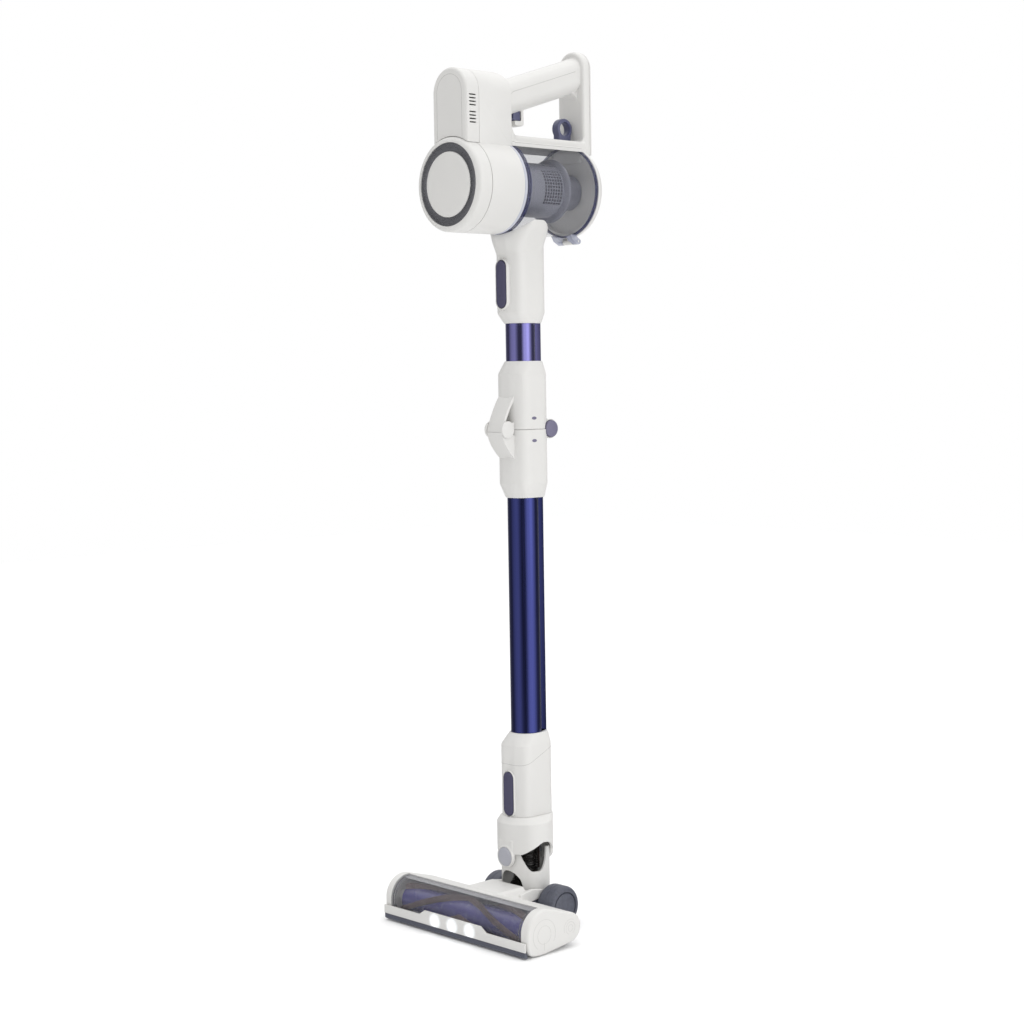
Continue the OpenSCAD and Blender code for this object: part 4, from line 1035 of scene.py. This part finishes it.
def window():
    """Clear arched window with a thickened lip at each end."""
    y, z, r = -100.5, 27.0, 28.6
    front, back = 212.0, 86.0

    def shell(name, x0, x1, r0, r1, a0, a1):
        outer, inner = arc(y, z, r1, a0, a1, 40), arc(y, z, r0, a0, a1, 40)
        return slab(name, outer + list(reversed(inner)), x0, x1, along_x)

    pane = shell("window_pane", WINDOW.x0, WINDOW.x1, r - 1.6, r, back, front)
    place(pane, "floor_head", "clear_smoke", "brush_window", angle=30,
          look=clear("window_clear", (0.30, 0.30, 0.33), 0.13))
    grey_look = clear("window_edge", (0.24, 0.24, 0.26), 0.4, 0.12)
    for side in (-1, 1):
        for k, x in enumerate((118.6, 114.6)):
            lip = shell(f"window_lip_{side + 1}_{k}", *sorted((side * x, side * (x - 0.9))), r - 3.4, r - 1.8,
                        back + 8, front - 3)
            place(lip, "floor_head", "clear_smoke", look=grey_look)
    # frosted band where the window slides under the cover
    band = shell("window_band", -117.5, 117.5, r - 2.6, r - 1.9, back - 6, back + 19)
    place(band, "floor_head", "clear_smoke", look=clear("window_frost", (0.50, 0.50, 0.52), 0.62, 0.3))


def trim():
    """Front strip with the lamp bar, its lit lenses and a painted glow round them on the strip."""
    y0, y1 = TRIM.y0, TRIM.y1
    strip = round_edges(copy_of("front_trim", "trim"), 0.5, 3, 40)
    place(strip, "floor_head", "white_plastic", "front_trim", look=painted_glow_trim())
    profile = [(0.001, y0 + 0.15), (2.4, y0 + 0.3), (3.8, y0 + 0.8), (4.3, y0 + 1.6), (4.3, y1), (0.001, y1)]
    for i, x in enumerate(LAMPS):
        dome = lathe(f"lens_{i}", profile, (x, LENSES.z), 48)
        place(dome, "floor_head", "led_lens", *(("led_lenses",) if x == 0 else ()))


def painted_glow_trim():
    """White plastic with a painted glow round each lamp: emission that stands in for the light the lamps throw on it.
    """
    mat = moulded("trim_painted_glow", WHITE, 0.36, 0.012)
    tree = mat.node_tree
    here = add(tree, "TexCoord", {}).outputs["Object"]
    total = 0.0
    for x in LAMPS:
        lamp = to_row((x, TRIM.y0, LENSES.z))
        far = add(tree, "VectorMath", {0: here, 1: lamp}, operation="DISTANCE").outputs["Value"]
        fall = add(tree, "MapRange", {"Value": far, "From Min": 0.0045, "From Max": 0.0135, "To Min": 0.55,
                                      "To Max": 0.0}, interpolation_type="SMOOTHERSTEP").outputs["Result"]
        total = add(tree, "Math", {0: total, 1: fall}, operation="ADD").outputs["Value"]
    # painted glow: the summed falloff round the lamps drives the strip's emission
    feed(tree.nodes["Principled BSDF"], {"Emission Color": (0.86, 0.92, 1.0, 1), "Emission Strength": total})
    return mat


def wheels():
    for node, body in (("wheel_right", "right_wheel"), ("wheel_left", "left_wheel")):
        w = Span(node)
        r, inner, outer = w.z1 - w.z, 38.0, 65.0
        profile = ([(4.05, inner), (r - 5, inner)] + arc(r - 5, inner + 5, 5, -78.75, 0, 7)
                   + [(r, inner + 12.8), (r - 0.5, inner + 13.2), (r - 0.5, inner + 14), (r, inner + 14.4)]
                   + arc(r - 6.5, outer - 6.5, 6.5, 0, 90, 10)
                   + [(19.2, outer), (18.7, outer - 0.5), (18.5, outer - 2.4), (17.6, outer - 2.4),
                      (17.3, outer - 0.7), (16.6, outer - 0.2), (12, outer + 0.25), (0.001, outer + 0.55),
                      (0.001, outer - 3.5), (4.05, outer - 3.5)])
        wheel = lathe(node + "_tyre", profile, (w.y, w.z), 128, along_x)
        if w.x < 0:
            mirror(wheel)
        place(wheel, body, "slate_wheel", node, angle=40)


# ---- CAD nodes that stay

def keep_cad():
    """Nodes whose CAD shape is right keep it, with rounded edges and their slot's material."""
    slots = {s["node"]: s["material_slot"] for s in frame["record"]["subparts"]}
    for name, obj in nodes.items():
        obj.data.materials.clear()
        obj.data.materials.append(MATERIALS[slots[name]])
        weld = obj.modifiers.new("weld", "WELD")
        weld.merge_threshold = 1e-6
        edges = obj.modifiers.new("edges", "BEVEL")
        edges.width = 0.3 * MM
        edges.segments = 2
        edges.limit_method = "ANGLE"
        edges.angle_limit = math.radians(35)


# ---- stage

def camera():
    """Looks down a little from the front right, at the height of the fold joint."""
    azimuth, pitch, roll = math.radians(46.762), math.radians(4.0244), math.radians(-0.9152)
    bearing, reach, height = math.radians(46.441066), 2.474706, 0.694079
    data = bpy.data.cameras.new("camera")
    data.sensor_width, data.lens = 36.0, 69.32
    data.clip_start, data.clip_end = 0.05, 60.0
    forward = Vector((-math.sin(azimuth) * math.cos(pitch), math.cos(azimuth) * math.cos(pitch), -math.sin(pitch)))
    right = Vector((math.cos(azimuth), math.sin(azimuth), 0))
    up = right.cross(forward)
    side = right * math.cos(roll) + up * math.sin(roll)
    top = up * math.cos(roll) - right * math.sin(roll)
    spot = Vector((reach * math.sin(bearing), -reach * math.cos(bearing) + WAND, height))
    obj = linked("camera", data)
    obj.matrix_world = Matrix.Translation(spot) @ Matrix((side, top, -forward)).transposed().to_4x4()
    bpy.context.scene.camera = obj


def area_light(name, location, target, size, energy):
    data = bpy.data.lights.new(name, "AREA")
    data.shape, data.energy = "RECTANGLE", energy
    data.size, data.size_y = size
    obj = linked(name, data)
    obj.location = location
    obj.rotation_euler = (Vector(target) - Vector(location)).to_track_quat("-Z", "Y").to_euler()


def floor():
    half = 5.0
    mesh = bpy.data.meshes.new("floor")
    mesh.from_pydata([(-half, -half, 0), (half, -half, 0), (half, half, 0), (-half, half, 0)], [], [(0, 1, 2, 3)])
    mat, tree, shader = material("floor_white")
    feed(shader, {"Base Color": vary(tree, noise(tree, 30.0, 2.0), grey(0.985), grey(0.995)), "Roughness": 0.9,
                  "Specular IOR Level": 0.1})
    mesh.materials.append(mat)
    obj = linked("floor", mesh)
    obj.visible_glossy = False


def studio():
    """White surroundings; gloss reflects darker and brighter bands, as flags in a studio give."""
    world = bpy.data.worlds.new("studio")
    bpy.context.scene.world = world
    world.use_nodes = True
    tree = world.node_tree
    tree.nodes.clear()
    way = add(tree, "TexCoord", {}).outputs["Generated"]
    split = add(tree, "SeparateXYZ", {"Vector": way}).outputs
    turn = add(tree, "Math", {0: split["Y"], 1: split["X"]}, operation="ARCTAN2").outputs["Value"]
    share = add(tree, "MapRange", {"From Min": -math.pi, "From Max": math.pi, "Value": turn}).outputs["Result"]
    bands = ramp(tree, share, [((degrees + 180.0) / 360.0, grey(level)) for degrees, level in (
        (-180, 0.25), (-150, 0.12), (-118, 0.9), (-88, 1.1), (-62, 0.16), (-34, 0.10), (-14, 2.0), (22, 2.0),
        (44, 0.9), (58, 0.15), (96, 0.2), (125, 0.8), (180, 0.25))])
    # a lamp overhead that only gloss on upward-facing curves picks up
    height = ramp(tree, split["Z"], [(0.0, grey(0.0)), (0.38, grey(0.0)), (0.6, grey(1.0))])
    lamp = add(tree, "Mix", {"Factor": height, "A": bands, "B": (1.4, 1.4, 1.4, 1)}, data_type="RGBA")
    slant = add(tree, "VectorMath", {0: way, 1: (0.12, 0.20, 0.52)}, operation="DOT_PRODUCT").outputs["Value"]
    lift = add(tree, "Math", {0: slant, 1: 0.68}, operation="ADD").outputs["Value"]
    plain, banded, white = (
        add(tree, "Background", {"Color": colour, "Strength": strength}).outputs["Background"]
        for colour, strength in (((1, 1, 1, 1), lift), (lamp.outputs["Result"], 1.0), ((1, 1, 1, 1), 1.0)))
    path = add(tree, "LightPath", {}).outputs
    lighting = add(tree, "MixShader", {"Fac": path["Is Glossy Ray"], 1: plain, 2: banded}).outputs["Shader"]
    seen = add(tree, "MixShader", {"Fac": path["Is Camera Ray"], 1: lighting, 2: white}).outputs["Shader"]
    add(tree, "OutputWorld", {"Surface": seen})
    floor()
    area_light("top_lamp", (0.3, 0.2, 6.0), (0, 0, 0.6), (4.5, 4.5), 62)
    area_light("right_lamp", (2.8, 0.9, 1.4), (0, 0, 0.7), (1.2, 2.2), 6)
    bpy.context.scene.view_settings.view_transform = "Standard"


camera()
keep_cad()
motor_front()
motor_body()
handle()
dust_cup()
cyclone()
cup_lid()
elbow()
release_button("elbow_button", "upper_release_button", "upper_button")
release_button("connector_button", "lower_release_button", "lower_button")
trigger_and_loop()
tubes()
fold_upper()
fold_lower()
fold_details()
connector()
swivel()
end_caps()
head_cover()
brush()
window()
trim()
wheels()
studio()
